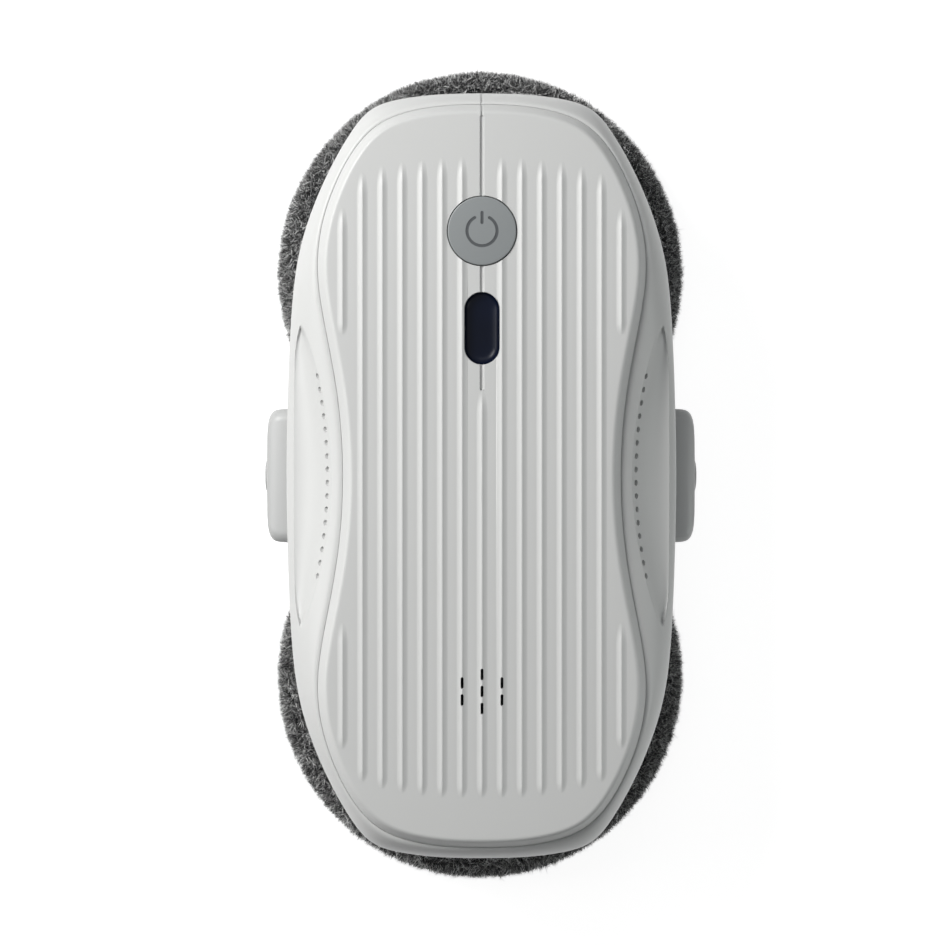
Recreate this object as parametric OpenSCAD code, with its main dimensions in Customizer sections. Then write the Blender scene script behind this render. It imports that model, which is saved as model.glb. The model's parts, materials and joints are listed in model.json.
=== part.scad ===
// Window cleaning robot with two turning pads. Millimetres, +Z away from the glass,
// Y along the body, +Y the end with the power button. The glass is the plane z = 0.

/* [Body outline] */
// Distance from a wheel centre to the end of the body
end_out = 60.8; // [59:0.2:63]
// Width of the body at its widest line
body_w = 137.4; // [134:0.2:141]
// How far the seam of the top cover lies inside the ends of the body
seam_in_l = 5.4; // [4:0.1:7]
// How far the lobes of the seam lie inside the sides of the body
seam_in_w = 10.9; // [9.5:0.1:12]
// Height of the underside of the lower housing
floor_z = 19.5; // [19:0.1:20]
// Height of the wall of the lower housing
lower_h = 28.5; // [28:0.1:30]
// Rise from the joint of the housing to the widest line of the body
belt_rise = 14; // [13:0.1:15]
// Rise from the widest line to the seam of the top cover
shoulder_h = 17.5; // [17:0.1:19]
// Rise from the seam to the plate of the top cover
cover_rise = 4; // [3.6:0.1:5]
// Draw-in of the lower housing at its underside
tuck = 4; // [3.6:0.1:4.4]
// Wall of the mouldings
wall = 2.4; // [2.2:0.05:2.6]
// Gap on each side of the seam
seam_gap = 0.2; // [0.15:0.01:0.25]

/* [Top cover] */
// Rise of the plate from its edges to its middle
crown = 0.6; // [0.3:0.05:0.9]
// Distance between two ridges
ridge_pitch = 6.9; // [6.7:0.05:7]
// Height of a ridge over the plate
ridge_h = 0.95; // [0.6:0.05:1.3]
// Width of a ridge at its foot
ridge_w = 3.9; // [3.4:0.1:4.2]
// Width of the groove along the middle
groove_w = 1.2; // [0.9:0.1:1.5]
// Depth of the groove along the middle
groove_d = 0.8; // [0.5:0.05:1]
// Distance from the middle of the body to the power button
button_y = 84.9; // [84:0.1:86]
// Radius of the power button
button_r = 11.9; // [11.5:0.1:12.3]
// Travel of the power button
button_travel = 0.8; // [0.6:0.05:1]
// Distance from the middle of the body to the receiver window
window_y = 51.2; // [50.5:0.1:52]
// Width of the receiver window
window_w = 12; // [11:0.1:13]
// Length of the receiver window
window_l = 25; // [24:0.1:26]
// Distance from the middle of the body to the middle of the sound slots
sound_y = 74.5; // [73:0.1:76]
// Length of a sound slot
slot_l = 4; // [3.6:0.1:4.4]
// Width of a sound slot
slot_w = 1; // [0.8:0.05:1.2]

/* [Side scoops and bumpers] */
// Length of a side scoop
scoop_l = 104; // [98:0.5:108]
// How far the floor of a side scoop falls outwards, over the full width of the shoulder
scoop_fall = 4; // [3:0.1:5]
// Diameter of a vent hole
vent_dia = 2.1; // [1.8:0.1:2.3]
// Distance between two vent holes
vent_pitch = 4.64; // [4.4:0.02:4.8]
// Length of a side bumper
bumper_l = 47.8; // [46:0.1:49]
// Height of a side bumper
bumper_h = 20; // [19:0.1:20.5]
// How far the face of a bumper stands out of the body
bumper_out = 7.9; // [7.4:0.1:8.2]
// Travel of a side bumper
bumper_travel = 4; // [3.5:0.1:4]
// Diameter of the round cap on a bumper
cap_dia = 11; // [10:0.1:12]

/* [Wheels and pads] */
// Gap between the two cleaning pads
pad_gap = 1.4; // [1.2:0.1:2]
// Radius of a cleaning pad
pad_r = 73; // [72:0.1:73.2]
// Radius of the hole in a cleaning pad
pad_hole_r = 35; // [34:0.5:36]
// Height of the pile of a cleaning pad
pile_h = 10.5; // [10:0.1:10.8]
// Thickness of the loop fabric behind the pile
loop_h = 1.2; // [1:0.05:1.2]
// Thickness of the ring of hooks
hook_h = 1; // [0.8:0.05:1]
// How far a cleaning pad reaches past its wheel disc
pad_over = 13; // [11:0.5:15]
// Thickness of a wheel disc
wheel_h = 4; // [3.8:0.05:4]
// Pitch radius of the ring gear on a wheel
ring_pitch_r = 40; // [39.5:0.1:40]
// Teeth of the ring gear on a wheel
ring_teeth = 80; // [78:1:80]
// Teeth of the pinion on a motor
pinion_teeth = 16; // [15:1:16]
// Height of the teeth of the ring gear
gear_h = 5.4; // [5:0.1:5.6]
// Diameter of the fixed steel axle of a wheel
axle_dia = 8; // [7.9:0.05:8.1]
// Outer diameter of a wheel bearing
bearing_od = 22; // [21.5:0.1:22.4]
// Thickness of a wheel bearing
bearing_h = 7; // [6.8:0.1:7]

/* [Inside] */
// Diameter of a gear motor
motor_dia = 25; // [24:0.1:26]
// Radius of the fan housing
fan_r = 31; // [29:0.1:31.5]
// Height of the fan housing
fan_h = 18; // [17:0.1:18.5]
// Blades of the impeller
fan_blades = 9; // [7:1:11]
// Height of the air duct
duct_h = 10; // [9.5:0.1:10.2]
// Diameter of a battery cell
cell_dia = 18.4; // [18:0.1:18.5]
// Length of a battery cell
cell_l = 65; // [64:0.5:66]
// Thickness of the circuit boards
board_h = 1.6; // [1.4:0.1:1.8]
// Drop from the plate of the top cover to the main board
board_drop = 13.5; // [13.2:0.1:14]
// Diameter of the loudspeaker
speaker_dia = 36; // [34:0.5:38]
// Gap between parts that move past each other
run_gap = 0.4; // [0.35:0.05:0.5]
// Radial clearance of a shaft that turns in its bore
run_fit = 0.04; // [0.03:0.01:0.06]

/* [Show] */
// Sub-part to draw

/* [Hidden] */
wheel_y = pad_r + pad_gap / 2;
wheel_r = pad_r - pad_over;
half_l = wheel_y + end_out;
half_w = body_w / 2;
seam_half_l = half_l - seam_in_l;
seam_half_w = half_w - seam_in_w;
parting_z = floor_z + lower_h;
belt_z = parting_z + belt_rise;
seam_z = belt_z + shoulder_h;
plate_z = seam_z + cover_rise;
board_z = plate_z - board_drop;
bumper_x = half_w + bumper_out;
gear_module = 2 * ring_pitch_r / ring_teeth;
around = 80;

// Shares of half the width and half the length, from the end of the body to its side.
outline_x_share = [0, 0.2, 0.39, 0.565, 0.665, 0.779, 0.88, 0.951, 0.979, 0.994, 1.002];
outline_y_share = [1, 0.999, 0.989, 0.969, 0.905, 0.804, 0.686, 0.561, 0.408, 0.208, 0];
seam_x_share = [0, 0.21, 0.43, 0.628, 0.769, 0.877, 0.967, 1, 0.959, 0.86, 0.825];
seam_y_share = [1.001, 0.999, 0.985, 0.953, 0.885, 0.796, 0.685, 0.561, 0.43, 0.225, 0];

function mirrored(k, xs, ys, w, l) =
    let(quad = floor(k / 10) % 4, m = k % 10, i = quad % 2 == 0 ? m : 10 - m)
    [w * xs[i] * (quad < 2 ? 1 : -1), l * ys[i] * (quad == 0 || quad == 3 ? 1 : -1)];

function on_curve(u, xs, ys, w, l) =
    let(v = u * 40, i = floor(v), t = v - i,
        a = mirrored((i + 39) % 40, xs, ys, w, l), b = mirrored(i % 40, xs, ys, w, l),
        c = mirrored((i + 1) % 40, xs, ys, w, l), d = mirrored((i + 2) % 40, xs, ys, w, l))
    ((1 - t) * (1 - t) * (1 - t) * a + (3 * t * t * t - 6 * t * t + 4) * b
        + (-3 * t * t * t + 3 * t * t + 3 * t + 1) * c + t * t * t * d) / 6;

function outline_at(u) = on_curve(u, outline_x_share, outline_y_share, half_w, half_l);
function seam_at(u) = on_curve(u, seam_x_share, seam_y_share, seam_half_w, seam_half_l);
function turned(v) = [v[1], -v[0]] / norm(v);
step_u_share = 0.002;
function outline_out(u) = -turned(outline_at(u + step_u_share) - outline_at(u + 1 - step_u_share));
function seam_out(u) = -turned(seam_at(u + step_u_share) - seam_at(u + 1 - step_u_share));

us = [for (i = [0:around - 1]) i / around];
outline_pts = [for (u = us) outline_at(u)];
outline_nrm = [for (u = us) outline_out(u)];
seam_pts = [for (u = us) seam_at(u)];
seam_nrm = [for (u = us) seam_out(u)];

function outline_loop(off, z) =
    [for (i = [0:around - 1]) let(p = outline_pts[i] + off * outline_nrm[i]) [p[0], p[1], z]];
function seam_loop(off, z) =
    [for (i = [0:around - 1]) let(p = seam_pts[i] + off * seam_nrm[i]) [p[0], p[1], z]];
function flat(loop) = [for (p = loop) [p[0], p[1]]];
function back(list) = [for (i = [len(list) - 1:-1:0]) list[i]];

// Closed skin over a list of loops: the last loop joins the first one when ring is true.
module skin(loops, ring) {
    n = len(loops[0]);
    m = len(loops);
    pts = [for (l = loops) each l];
    last = ring ? m - 1 : m - 2;
    sides = [for (j = [0:last], i = [0:n - 1])
        let(a = j * n + i, b = j * n + (i + 1) % n,
            c = ((j + 1) % m) * n + (i + 1) % n, d = ((j + 1) % m) * n + i)
        each [[a, d, c], [a, c, b]]];
    caps = ring ? [] : [[for (i = [0:n - 1]) i], [for (i = [0:n - 1]) m * n - 1 - i]];
    polyhedron(points = pts, faces = concat(sides, caps), convexity = 10);
}

// Draw-in of the outside wall below the widest line.
function tuck_at(z) = tuck * pow(max(0, belt_z - z) / (belt_z - floor_z), 2.2);

// The shoulder runs from the seam (s = 0) to the widest line (s = 1) over its local width w.
// Where it is wide it slopes more evenly, and where it is narrow it rounds over.
shoulder_line_share = 0.55;
shoulder_even_w = 20.8;
function line_share(w) = shoulder_line_share * min(1, w / shoulder_even_w);
function shoulder_z(s, w) = let(line = line_share(w))
    seam_z - shoulder_h * (line * s + (1 - line) * (1 - sqrt(max(0, 1 - s * s))));

// The scoop is hollow between an inner and an outer edge that close in a round tip. Its floor
// leaves the outer edge at a gentle fall and curves up to meet the shoulder at the inner edge.
scoop_mid_share = 0.19;
scoop_tip_share = 0.7;
scoop_edge_share = 0.86;
function scoop_at(s, y, w) =
    let(v = min(1, abs(y) / (scoop_l / 2)), open = 1 - v * v,
        inner = scoop_tip_share - (scoop_tip_share - scoop_mid_share) * pow(open, 0.65),
        outer = scoop_edge_share - (scoop_edge_share - scoop_tip_share) * pow(v, 10),
        reach = outer - inner, edge_z = shoulder_z(outer, w),
        climb = shoulder_z(inner, w) - edge_z - scoop_fall * reach, e = outer - s)
    open <= 0 || s <= inner || s >= outer ? 0
        : max(0, shoulder_z(s, w) - edge_z - scoop_fall * e - climb * pow(e / reach, 2));

function shoulder_loop(s, inward, down) =
    [for (i = [0:around - 1])
        let(a = seam_pts[i] + seam_gap * seam_nrm[i], b = outline_pts[i],
            p = a + s * (b - a), q = p - inward * outline_nrm[i], w = norm(b - a))
        [q[0], q[1], shoulder_z(s, w) - scoop_at(s, p[1], w) - down]];

// One overrun serves all cuts.
over = 1;
sink = 0.5;

// Upper shell: ledge under the cover, and the joint with the lower housing.
ledge_w = 3.4;
ledge_drop = 2.5;
ledge_h = 1.6;
ledge_slope = 0.6;
ledge_z = seam_z - ledge_drop;
joint_straight = 4;
inner_straight = 8;
skin_share = 0.8;
side_boss_drop = 2.7;
end_boss_drop = 1;
tongue_h = 2;
tongue_gap = 0.2;
tongue_t = 1.3;

// Vent holes: they lie on a bow along the scoop's wall.
vent_rows = 16;
vent_in = 15.35;
vent_x = half_w - vent_in;
vent_drop = 4.1;
vent_bow_r = 175;
vent_tilt = 68;
vent_cut_l = 12;

// Top cover: bevel, plate and what shows on it.
plate_under = plate_z - wall;
plate_in = 4;
skirt_t = 2.6;
skirt_slope = 1.5;
bevel_foot = 0.3;
bevel_in_share = [0.0625, 0.2375, 0.4375, 0.625, 0.825];
bevel_up_share = [0.08, 0.38, 0.7, 0.9, 0.985];
button_gap = 0.3;
window_gap = 0.1;
ridge_sink = 0.35;
ridge_end_sink = 0.12;
window_to_ridge = 9.2;
slot_pitch = 5.9;
clip_places = [3, 14, 26, 37, 43, 54, 66, 77];
clip_w = 8;
clip_t = 1.6;
clip_hook = 1;
clip_hook_h = 1.4;
clip_gap = 0.6;

// Levels of a wheel, from the glass upwards.
hook_z = pile_h + loop_h;
disc_z = hook_z + hook_h;
gear_z = disc_z + wheel_h;
roof_gap = 8.3;
roof_z = gear_z + roof_gap;
roof_t = 2;
roof_top = roof_z + roof_t;
hub_wall = 3.5;
hub_r = bearing_od / 2 + hub_wall;
hub_z = 5.6;
hub_top = roof_z - over;
bearing_rest = 0.4;
bearing_low_z = hub_z + bearing_rest;
bearing_high_z = hub_top - bearing_h;
bearing_lip = 1.5;
disc_in_r = 29.5;
collar_w = 2.5;
spoke_w = 3.2;
spoke_inset = 0.5;
spoke_bite = 0.6;
axle_low_z = hub_z;
axle_in_boss = 8;
axle_top = roof_z + axle_in_boss;
boss_r = 9;
axle_screw_r = 2;
axle_screw_l = 10;
axle_screw_bore = 11;
axle_screw_head_r = 3.8;
axle_screw_head_h = 2.2;
key_r = 1.5;
key_deep = 1.2;
washer_r = 6.8;
washer_t = 1;
washer_gap = 0.15;
pad_foot_share = [[0.009, 1], [0, 0.81], [0.008, 0.15], [0.058, 0], [0.91, 0], [0.968, 0.095],
    [0.995, 0.305], [1, 0.57]];
pad_rim_share = [[0.99, 0.12], [0.94, 0.52], [0.78, 0.88], [0.53, 1], [0.28, 0.93], [0.08, 0.72],
    [0, 0.4], [0, 0]];
rim_h = 6.3;
rim_gap = 0.3;
backing_hole_in = 1;
hooks_in = 4;
hooks_hole_in = 3;

// Drive.
pitch_r = ring_teeth * gear_module / 2;
pinion_pitch_r = pinion_teeth * gear_module / 2;
gear_reach = pitch_r + pinion_pitch_r;
pinion_x = gear_reach * sin(45);
pinion_y = wheel_y - gear_reach * cos(45);
well_gap = 3;
well_r = pitch_r + well_gap;
well_wall = 2;
pinion_well_gap = 1.8;
pinion_well_r = pinion_pitch_r + pinion_well_gap;
pinion_lift = 0.5;
pinion_z = gear_z + pinion_lift;
pinion_h = 5;
gear_rim = 2.2;
tip_share = 0.92;
root_share = 1.2;
tooth_shares = [-1.22, -0.42, 0.42, 1.22];
shaft_r = 2;
shaft_end = 0.3;
shaft_in_motor = 3;
motor_boss_r = 3.5;
motor_boss_gap = 0.2;
gearbox_l = 21;
motor_can_l = 21;
motor_can_step = 0.4;
motor_cap_r = 5;
motor_cap_l = 2;
tab = [0.8, 2.8, 4];
tab_off = 7;
motor_bore_l = 4;
motor_screw_off = 4.8;
motor_screw_l = 6;

// Suction: ports, seals, duct and fan.
port_r = 23;
port_in_r = 11;
port_spoke_w = 3;
seal_in_r = 33.4;
seal_w = 2.8;
seal_foot = 2;
seal_neck = 4.6;
seal_t = 1.2;
duct_r = 26;
duct_w = 30;
duct_wall = 1.8;
duct_mid_r = 20;
duct_z = roof_top;
duct_top = duct_z + duct_h;
inlet_r = 13;
gasket_t = 1;
gasket_out_r = 18;
gasket_in_gap = 0.5;
fan_z = duct_top + gasket_t;
fan_top = fan_z + fan_h;
fan_wall = 1.6;
fan_port_w = 14;
fan_port_off = 4;
fan_port_edge = 3;
fan_shaft_r = 1.5;
fan_shaft_hole_r = 3;
fan_shaft_lift = 3.4;
fan_shaft_over = 2;
impeller_gap = 6;
impeller_lift = 3;
impeller_disc_t = 1.4;
impeller_hub_r = 5;
blade_h = 10;
blade_root_r = 4.4;
blade_steps = 6;
blade_turn = 6;
blade_taper = 18;
fan_motor_r = 14;
fan_motor_l = 17;
fan_motor_cap_r = 4;
fan_motor_cap_l = 1.6;
fan_motor_bore_l = 9;

// Side bumpers.
bumper_drop = 12;
bumper_mid_z = parting_z - bumper_drop;
bumper_half = bumper_l / 2;
bumper_deep = 16.8;
flange_x = bumper_x - bumper_deep;
flange_t = 2;
flange_edge = 1.4;
flange_lip = 1.2;
guide_in = 28.6;
guide_x = bumper_x - guide_in;
guide_t = 3;
guide_half = 20;
guide_h = 25;
post_r = 2.5;
post_y = 14;
post_over = 2.4;
flag_t = 1.2;
flag_half_h = 4;
flag_slot = [9, 10];
pillow = [6.6, 3.6, 1.9, 0.6, 0.15, 0];
pillow_y_share = [1, 0.985, 0.937, 0.84, 0.6, 0.4];
pillow_z_share = [1, 0.955, 0.87, 0.76, 0.66, 0.6];
block_back = 1.5;
pocket = [9, 14, 2.2];
pocket_y = 7;
pocket_x = 1.5;
cap_seat = 1.7;
cap_gap = 0.05;
cap_h_share = [0.373, 0.418, 0.455, 0.473];
spring_r = 3.6;
spring_wire_r = 0.4;
spring_end = 0.05;
sensor_board = [1.6, 14, 22];
sensor_in = 8.6;
sensor_x = guide_x - sensor_in;
sensor_box = [6.4, 8, 8.8];
sensor_slot_w = 2.2;
sensor_slot_deep = 4.4;

// Socket of the mains adapter and the anchor of the safety rope, in the end wall.
inlet_x = 15;
inlet_drop = 12;
inlet_z = parting_z - inlet_drop;
inlet_face_in = 0.4;
inlet_barrel_r = 4.6;
inlet_barrel_gap = 0.1;
inlet_barrel_wall = 1.6;
inlet_barrel_l = 6;
inlet_mouth_l = 5.5;
inlet_body = [12, 10, 11];
inlet_body_back = 5;
inlet_pin_r = 0.9;
inlet_pin_l = 5;
anchor_pin_r = 2;
anchor_pin_in = 4.5;
anchor_deep = 11;
anchor_hole = 14;
anchor_wall = 2;
anchor_pin_over = 2.8;

// Screws and posts.
screw_r = 1.5;
screw_free = 0.2;
screw_head_r = 2.8;
screw_head_h = 2;
screw_head_free = 0.4;
screw_slot = [3.2, 0.7];
screw_slot_deep = 1;
housing_boss_r = 4.2;
housing_screw_l = 12;
inner_screw_l = 8;
screw_web = 6;
shoulder_low_z = parting_z - screw_web;
side_screw_in = 9.7;
side_screw_y = 33;
end_screw_x = 33;
end_screw_in = 15;
corners = [[1, 1], [1, -1], [-1, 1], [-1, -1]];
side_screw_at = [for (c = corners) [c[0] * (half_w - side_screw_in), c[1] * side_screw_y]];
end_screw_at = [for (c = corners) [c[0] * end_screw_x, c[1] * (half_l - end_screw_in)]];
housing_screw_at = concat(side_screw_at, end_screw_at);
floor_t = 2;
post_d = 6;
// Posts stand in two rows, one on each side of the line through a wheel's axle.
post_x = [30, 26];
board_rows = [-11.7, 30.3];
tray_rows = [-13.7, 32.3];
board_post_at = [for (k = [0, 1], c = [-1, 1]) [c * post_x[k], wheel_y + board_rows[k]]];
tray_gap = 0.3;
tray_z = duct_top + tray_gap;
tray_post_at = [for (k = [0, 1], c = [-1, 1]) [c * post_x[k], -wheel_y - tray_rows[k]]];

// Battery.
cell_in = 9.7;
cell_first = wheel_y - cell_in;
cell_pitch = 19.6;
cells = 3;
cell_tip_l = 1.2;
cell_tip_r = 3;
tray = [72, 59.5, 2];
tray_out = 39.8;
tray_end = wheel_y + tray_out;
tray_wall_h = 12;
tray_screw_in = 0.8;
cradle_w = 6;
cradle_x = 19;
cradle_h = 7;
cradle_gap = 0.1;
cell_z = tray_z + tray[2] + screw_head_h + cell_dia / 2;

// Main board and what it carries: sizes of the parts, then their places.
board = [68, 55];
board_in = 16.7;
board_y = wheel_y - board_in;
board_tongue = [28, 22];
board_tongue_in = 15.2;
board_tongue_y = window_y - board_tongue_in;
chip = [10, 10, 1.2];
chip_at = [-22, 9];
driver = [7, 9, 1.4];
driver_at = [14, 11];
relay = [4, 6, 1.1];
relay_at = [-22, 43];
relay_pitch = 6;
can_r = 4;
can_h = 7.5;
can_at = [20, 39];
plug = [5, 14, 5];
plug_at = [[-32, 21], [27, 21]];
header = [13, 5, 4.5];
header_at = [-6.5, 1];
coil_box = [5, 5, 3];
coil_at = [10, 31];
eye_box = [7, 5, 6.6];
eye_r = 2.6;
eye_l = 1.4;
eye_z = 3.8;
eye_back = 4;
switch_box = [6, 6, 3.4];
switch_well_r = 1.75;
switch_well_z = 1.6;

// Power button.
button_rise = 0.6;
button_edge = 0.5;
button_top = plate_z + crown + button_rise;
flange_gap = 0.3;
flange_h = 1;
flange_out = 1.5;
flange_z = plate_under - flange_gap - flange_h;
stem_r = 2.4;
stem_over = 4.4;
stem_low = board_z + board_h + stem_over;
plunger_r = 1.7;
plunger_z = 2.8;
stem_fit = 0.08;
cup_gap = 0.3;
cup_z = stem_low + cup_gap;
cup_t = 1.2;
cup_in_gap = 2;
cup_wall = 1.5;
button_spring_r = 8;
button_wire_r = 0.3;

// Loudspeaker and window lens.
magnet_r = 9;
magnet_h = 4.5;
speaker_h = 10;
basket_h = 3;
speaker_rim = 2.5;
cone_in = 1.6;
cone_deep = 4;
cone_mid_r = 5;
cone_mid = 3;
lens_low = 0.5;
lens_rise = 0.1;
lens_lip = 3;
lens_lip_h = 1.2;

module at_list(list) {
    for (p = list) translate([p[0], p[1], 0]) children();
}

module both_ends(front) {
    translate([0, front ? wheel_y : -wheel_y, 0]) rotate(front ? 0 : 180) children();
}

module tube(r_out, r_in, z, h) {
    translate([0, 0, z]) difference() {
        cylinder(r = r_out, h = h, $fn = 96);
        translate([0, 0, -over]) cylinder(r = r_in, h = h + 2 * over, $fn = 96);
    }
}

module upper_shell() {
    outer = [for (s = [0.03, 0.1, 0.2, 0.28, 0.37, 0.47, 0.58, 0.7, 0.8, 0.86, 0.9, 0.95, 1])
        shoulder_loop(s, 0, 0)];
    low = parting_z + joint_straight;
    loops = concat(
        [seam_loop(seam_gap, ledge_z), seam_loop(seam_gap, seam_z - seam_gap)],
        outer,
        [outline_loop(-tuck_at(low), low), outline_loop(-tuck_at(parting_z), parting_z),
         outline_loop(-wall - tuck_at(parting_z), parting_z),
         outline_loop(-wall, parting_z + inner_straight)],
        [for (s = [0.62, 0.45, 0.3, 0.14]) shoulder_loop(s, wall * skin_share, wall * skin_share)],
        [seam_loop(-ledge_w, ledge_z - ledge_h - ledge_slope), seam_loop(-ledge_w, ledge_z)]);
    color("gainsboro") difference() {
        union() {
            skin(loops, true);
            at_list(side_screw_at) translate([0, 0, parting_z])
                cylinder(r = housing_boss_r, h = belt_z - side_boss_drop - parting_z, $fn = 32);
            at_list(end_screw_at) translate([0, 0, parting_z])
                cylinder(r = housing_boss_r, h = ledge_z - end_boss_drop - parting_z, $fn = 32);
        }
        at_list(housing_screw_at) translate([0, 0, parting_z - over])
            cylinder(r = screw_r, h = inner_screw_l + over, $fn = 24);
        vent_holes();
        groove_cut();
    }
}

module vent_holes() {
    for (side = [-1, 1], k = [0:vent_rows - 1]) {
        y = (k - (vent_rows - 1) / 2) * vent_pitch;
        bow = y * y / (2 * vent_bow_r);
        translate([side * (vent_x + bow), y, seam_z - vent_drop]) rotate([0, side * vent_tilt, 0])
            translate([0, 0, -vent_cut_l / 2]) cylinder(d = vent_dia, h = vent_cut_l, $fn = 16);
    }
}

// The groove carries on from the cover down the shoulder at the button's end.
module groove_cut() {
    in_y = seam_half_l - ledge_w;
    out_y = half_l + wall;
    end_w = half_l - seam_half_l;
    translate([-groove_w / 2, 0, 0]) rotate([90, 0, 90]) linear_extrude(groove_w)
        polygon(concat(
            [for (s = [0, 0.1, 0.3, 0.5, 0.7, 0.85])
                [seam_half_l + s * end_w - groove_d, shoulder_z(s, end_w) - groove_d]],
            [[out_y, belt_z], [out_y, plate_z], [in_y, plate_z], [in_y, seam_z - groove_d]]));
}

function plate_top(x) = plate_z + crown * (1 - pow(x / seam_half_w, 2));
function cover_loop(off, z) = seam_loop(-seam_gap - off, z);
function inner_loop(share) =
    [for (p = cover_loop(plate_in, 0)) let(x = p[0] * share) [x, p[1] * share, plate_top(x)]];

module top_cover() {
    rise = plate_z - seam_z;
    loops = concat(
        [cover_loop(plate_in, plate_under), cover_loop(skirt_t, plate_under - skirt_slope),
         cover_loop(skirt_t, ledge_z), cover_loop(0, ledge_z), cover_loop(0, seam_z - bevel_foot)],
        [for (k = [0:4]) cover_loop(plate_in * bevel_in_share[k], seam_z + rise * bevel_up_share[k])],
        [inner_loop(1), inner_loop(0.66),
         [for (p = inner_loop(0.3)) [p[0], p[1], plate_z + 0.95 * crown]]]);
    color("gainsboro") difference() {
        union() {
            skin(back(loops), false);
            ridges();
            cover_clips();
        }
        translate([0, button_y, plate_under - over])
            cylinder(r = button_r + button_gap, h = wall + crown + 2 * over + ridge_h, $fn = 96);
        translate([0, window_y, 0]) pill(window_w + 2 * window_gap, window_l + 2 * window_gap,
            plate_under - over, wall + crown + 2 * over + ridge_h);
        sound_slots();
        groove_line(button_y + button_r - over, seam_half_l + over);
        groove_line(window_y + window_l / 2 - over, button_y - button_r + over);
        groove_line(window_y - window_l / 2 - window_to_ridge, window_y - window_l / 2 + over);
    }
}

module groove_line(y0, y1) {
    translate([-groove_w / 2, y0, plate_z + crown - groove_d]) cube([groove_w, y1 - y0, groove_d + over]);
}

module pill(w, l, z, h) {
    translate([0, 0, z]) {
        for (e = [-1, 1]) translate([0, e * (l - w) / 2, 0]) cylinder(d = w, h = h, $fn = 64);
        translate([-w / 2, -(l - w) / 2, 0]) cube([w, l - w, h]);
    }
}

// Ends of the ridges as shares of half the cover, from the middle outwards.
ridge_end_share = [0.856, 0.856, 0.855, 0.85, 0.843, 0.832, 0.814];
short_front_share = [0.385, 0.72];
short_rear_share = [-0.725, -0.392];
module ridges() {
    for (k = [-6:6]) {
        e = ridge_end_share[abs(k)] * seam_half_l;
        ridge(k * ridge_pitch, -e, k == 0 ? window_y - window_l / 2 - window_to_ridge : e);
    }
    for (side = [-1, 1], q = [short_front_share, short_rear_share])
        ridge(side * 7 * ridge_pitch, q[0] * seam_half_l, q[1] * seam_half_l);
}

// A ridge has a narrow crest between hollow flanks, and sinks away at its ends.
ridge_level_share = [[-1, -1], [-0.42, 0.34], [-0.14, 1], [0.14, 1], [0.42, 0.34], [1, -1]];
ridge_fade_share = 0.6;
module ridge(x, y0, y1) {
    z = plate_top(x);
    w = ridge_w / 2;
    fade = ridge_w * ridge_fade_share;
    rows = [for (e = [0:3]) let(y = [y0, y0 + fade, y1 - fade, y1][e], full = e == 1 || e == 2)
        [for (q = ridge_level_share) [x + q[0] * w * (full ? 1 : 0.5), y,
            z + (q[1] < 0 ? -ridge_sink : (full ? q[1] * ridge_h : -ridge_end_sink))]]];
    skin(rows, false);
}

module sound_slots() {
    for (c = [-1:1], k = c == 0 ? [-1:1] : [-0.5, 0.5])
        translate([c * ridge_pitch - slot_w / 2, -sound_y + k * slot_pitch - slot_l / 2, plate_under - over])
            cube([slot_w, slot_l, wall + crown + 2 * over + ridge_h]);
}

// Clips that catch under the ledge of the upper shell.
module cover_clips() {
    low = ledge_z - ledge_h - ledge_slope - clip_gap;
    for (i = clip_places) {
        p = seam_pts[i];
        n = seam_nrm[i];
        translate([p[0], p[1], 0]) rotate(atan2(n[1], n[0]))
            translate([-ledge_w - clip_gap - clip_t, -clip_w / 2, low - clip_hook_h]) {
                cube([clip_t, clip_w, plate_under + sink - low + clip_hook_h]);
                cube([clip_t + clip_gap + clip_hook, clip_w, clip_hook_h]);
            }
    }
}

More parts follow.
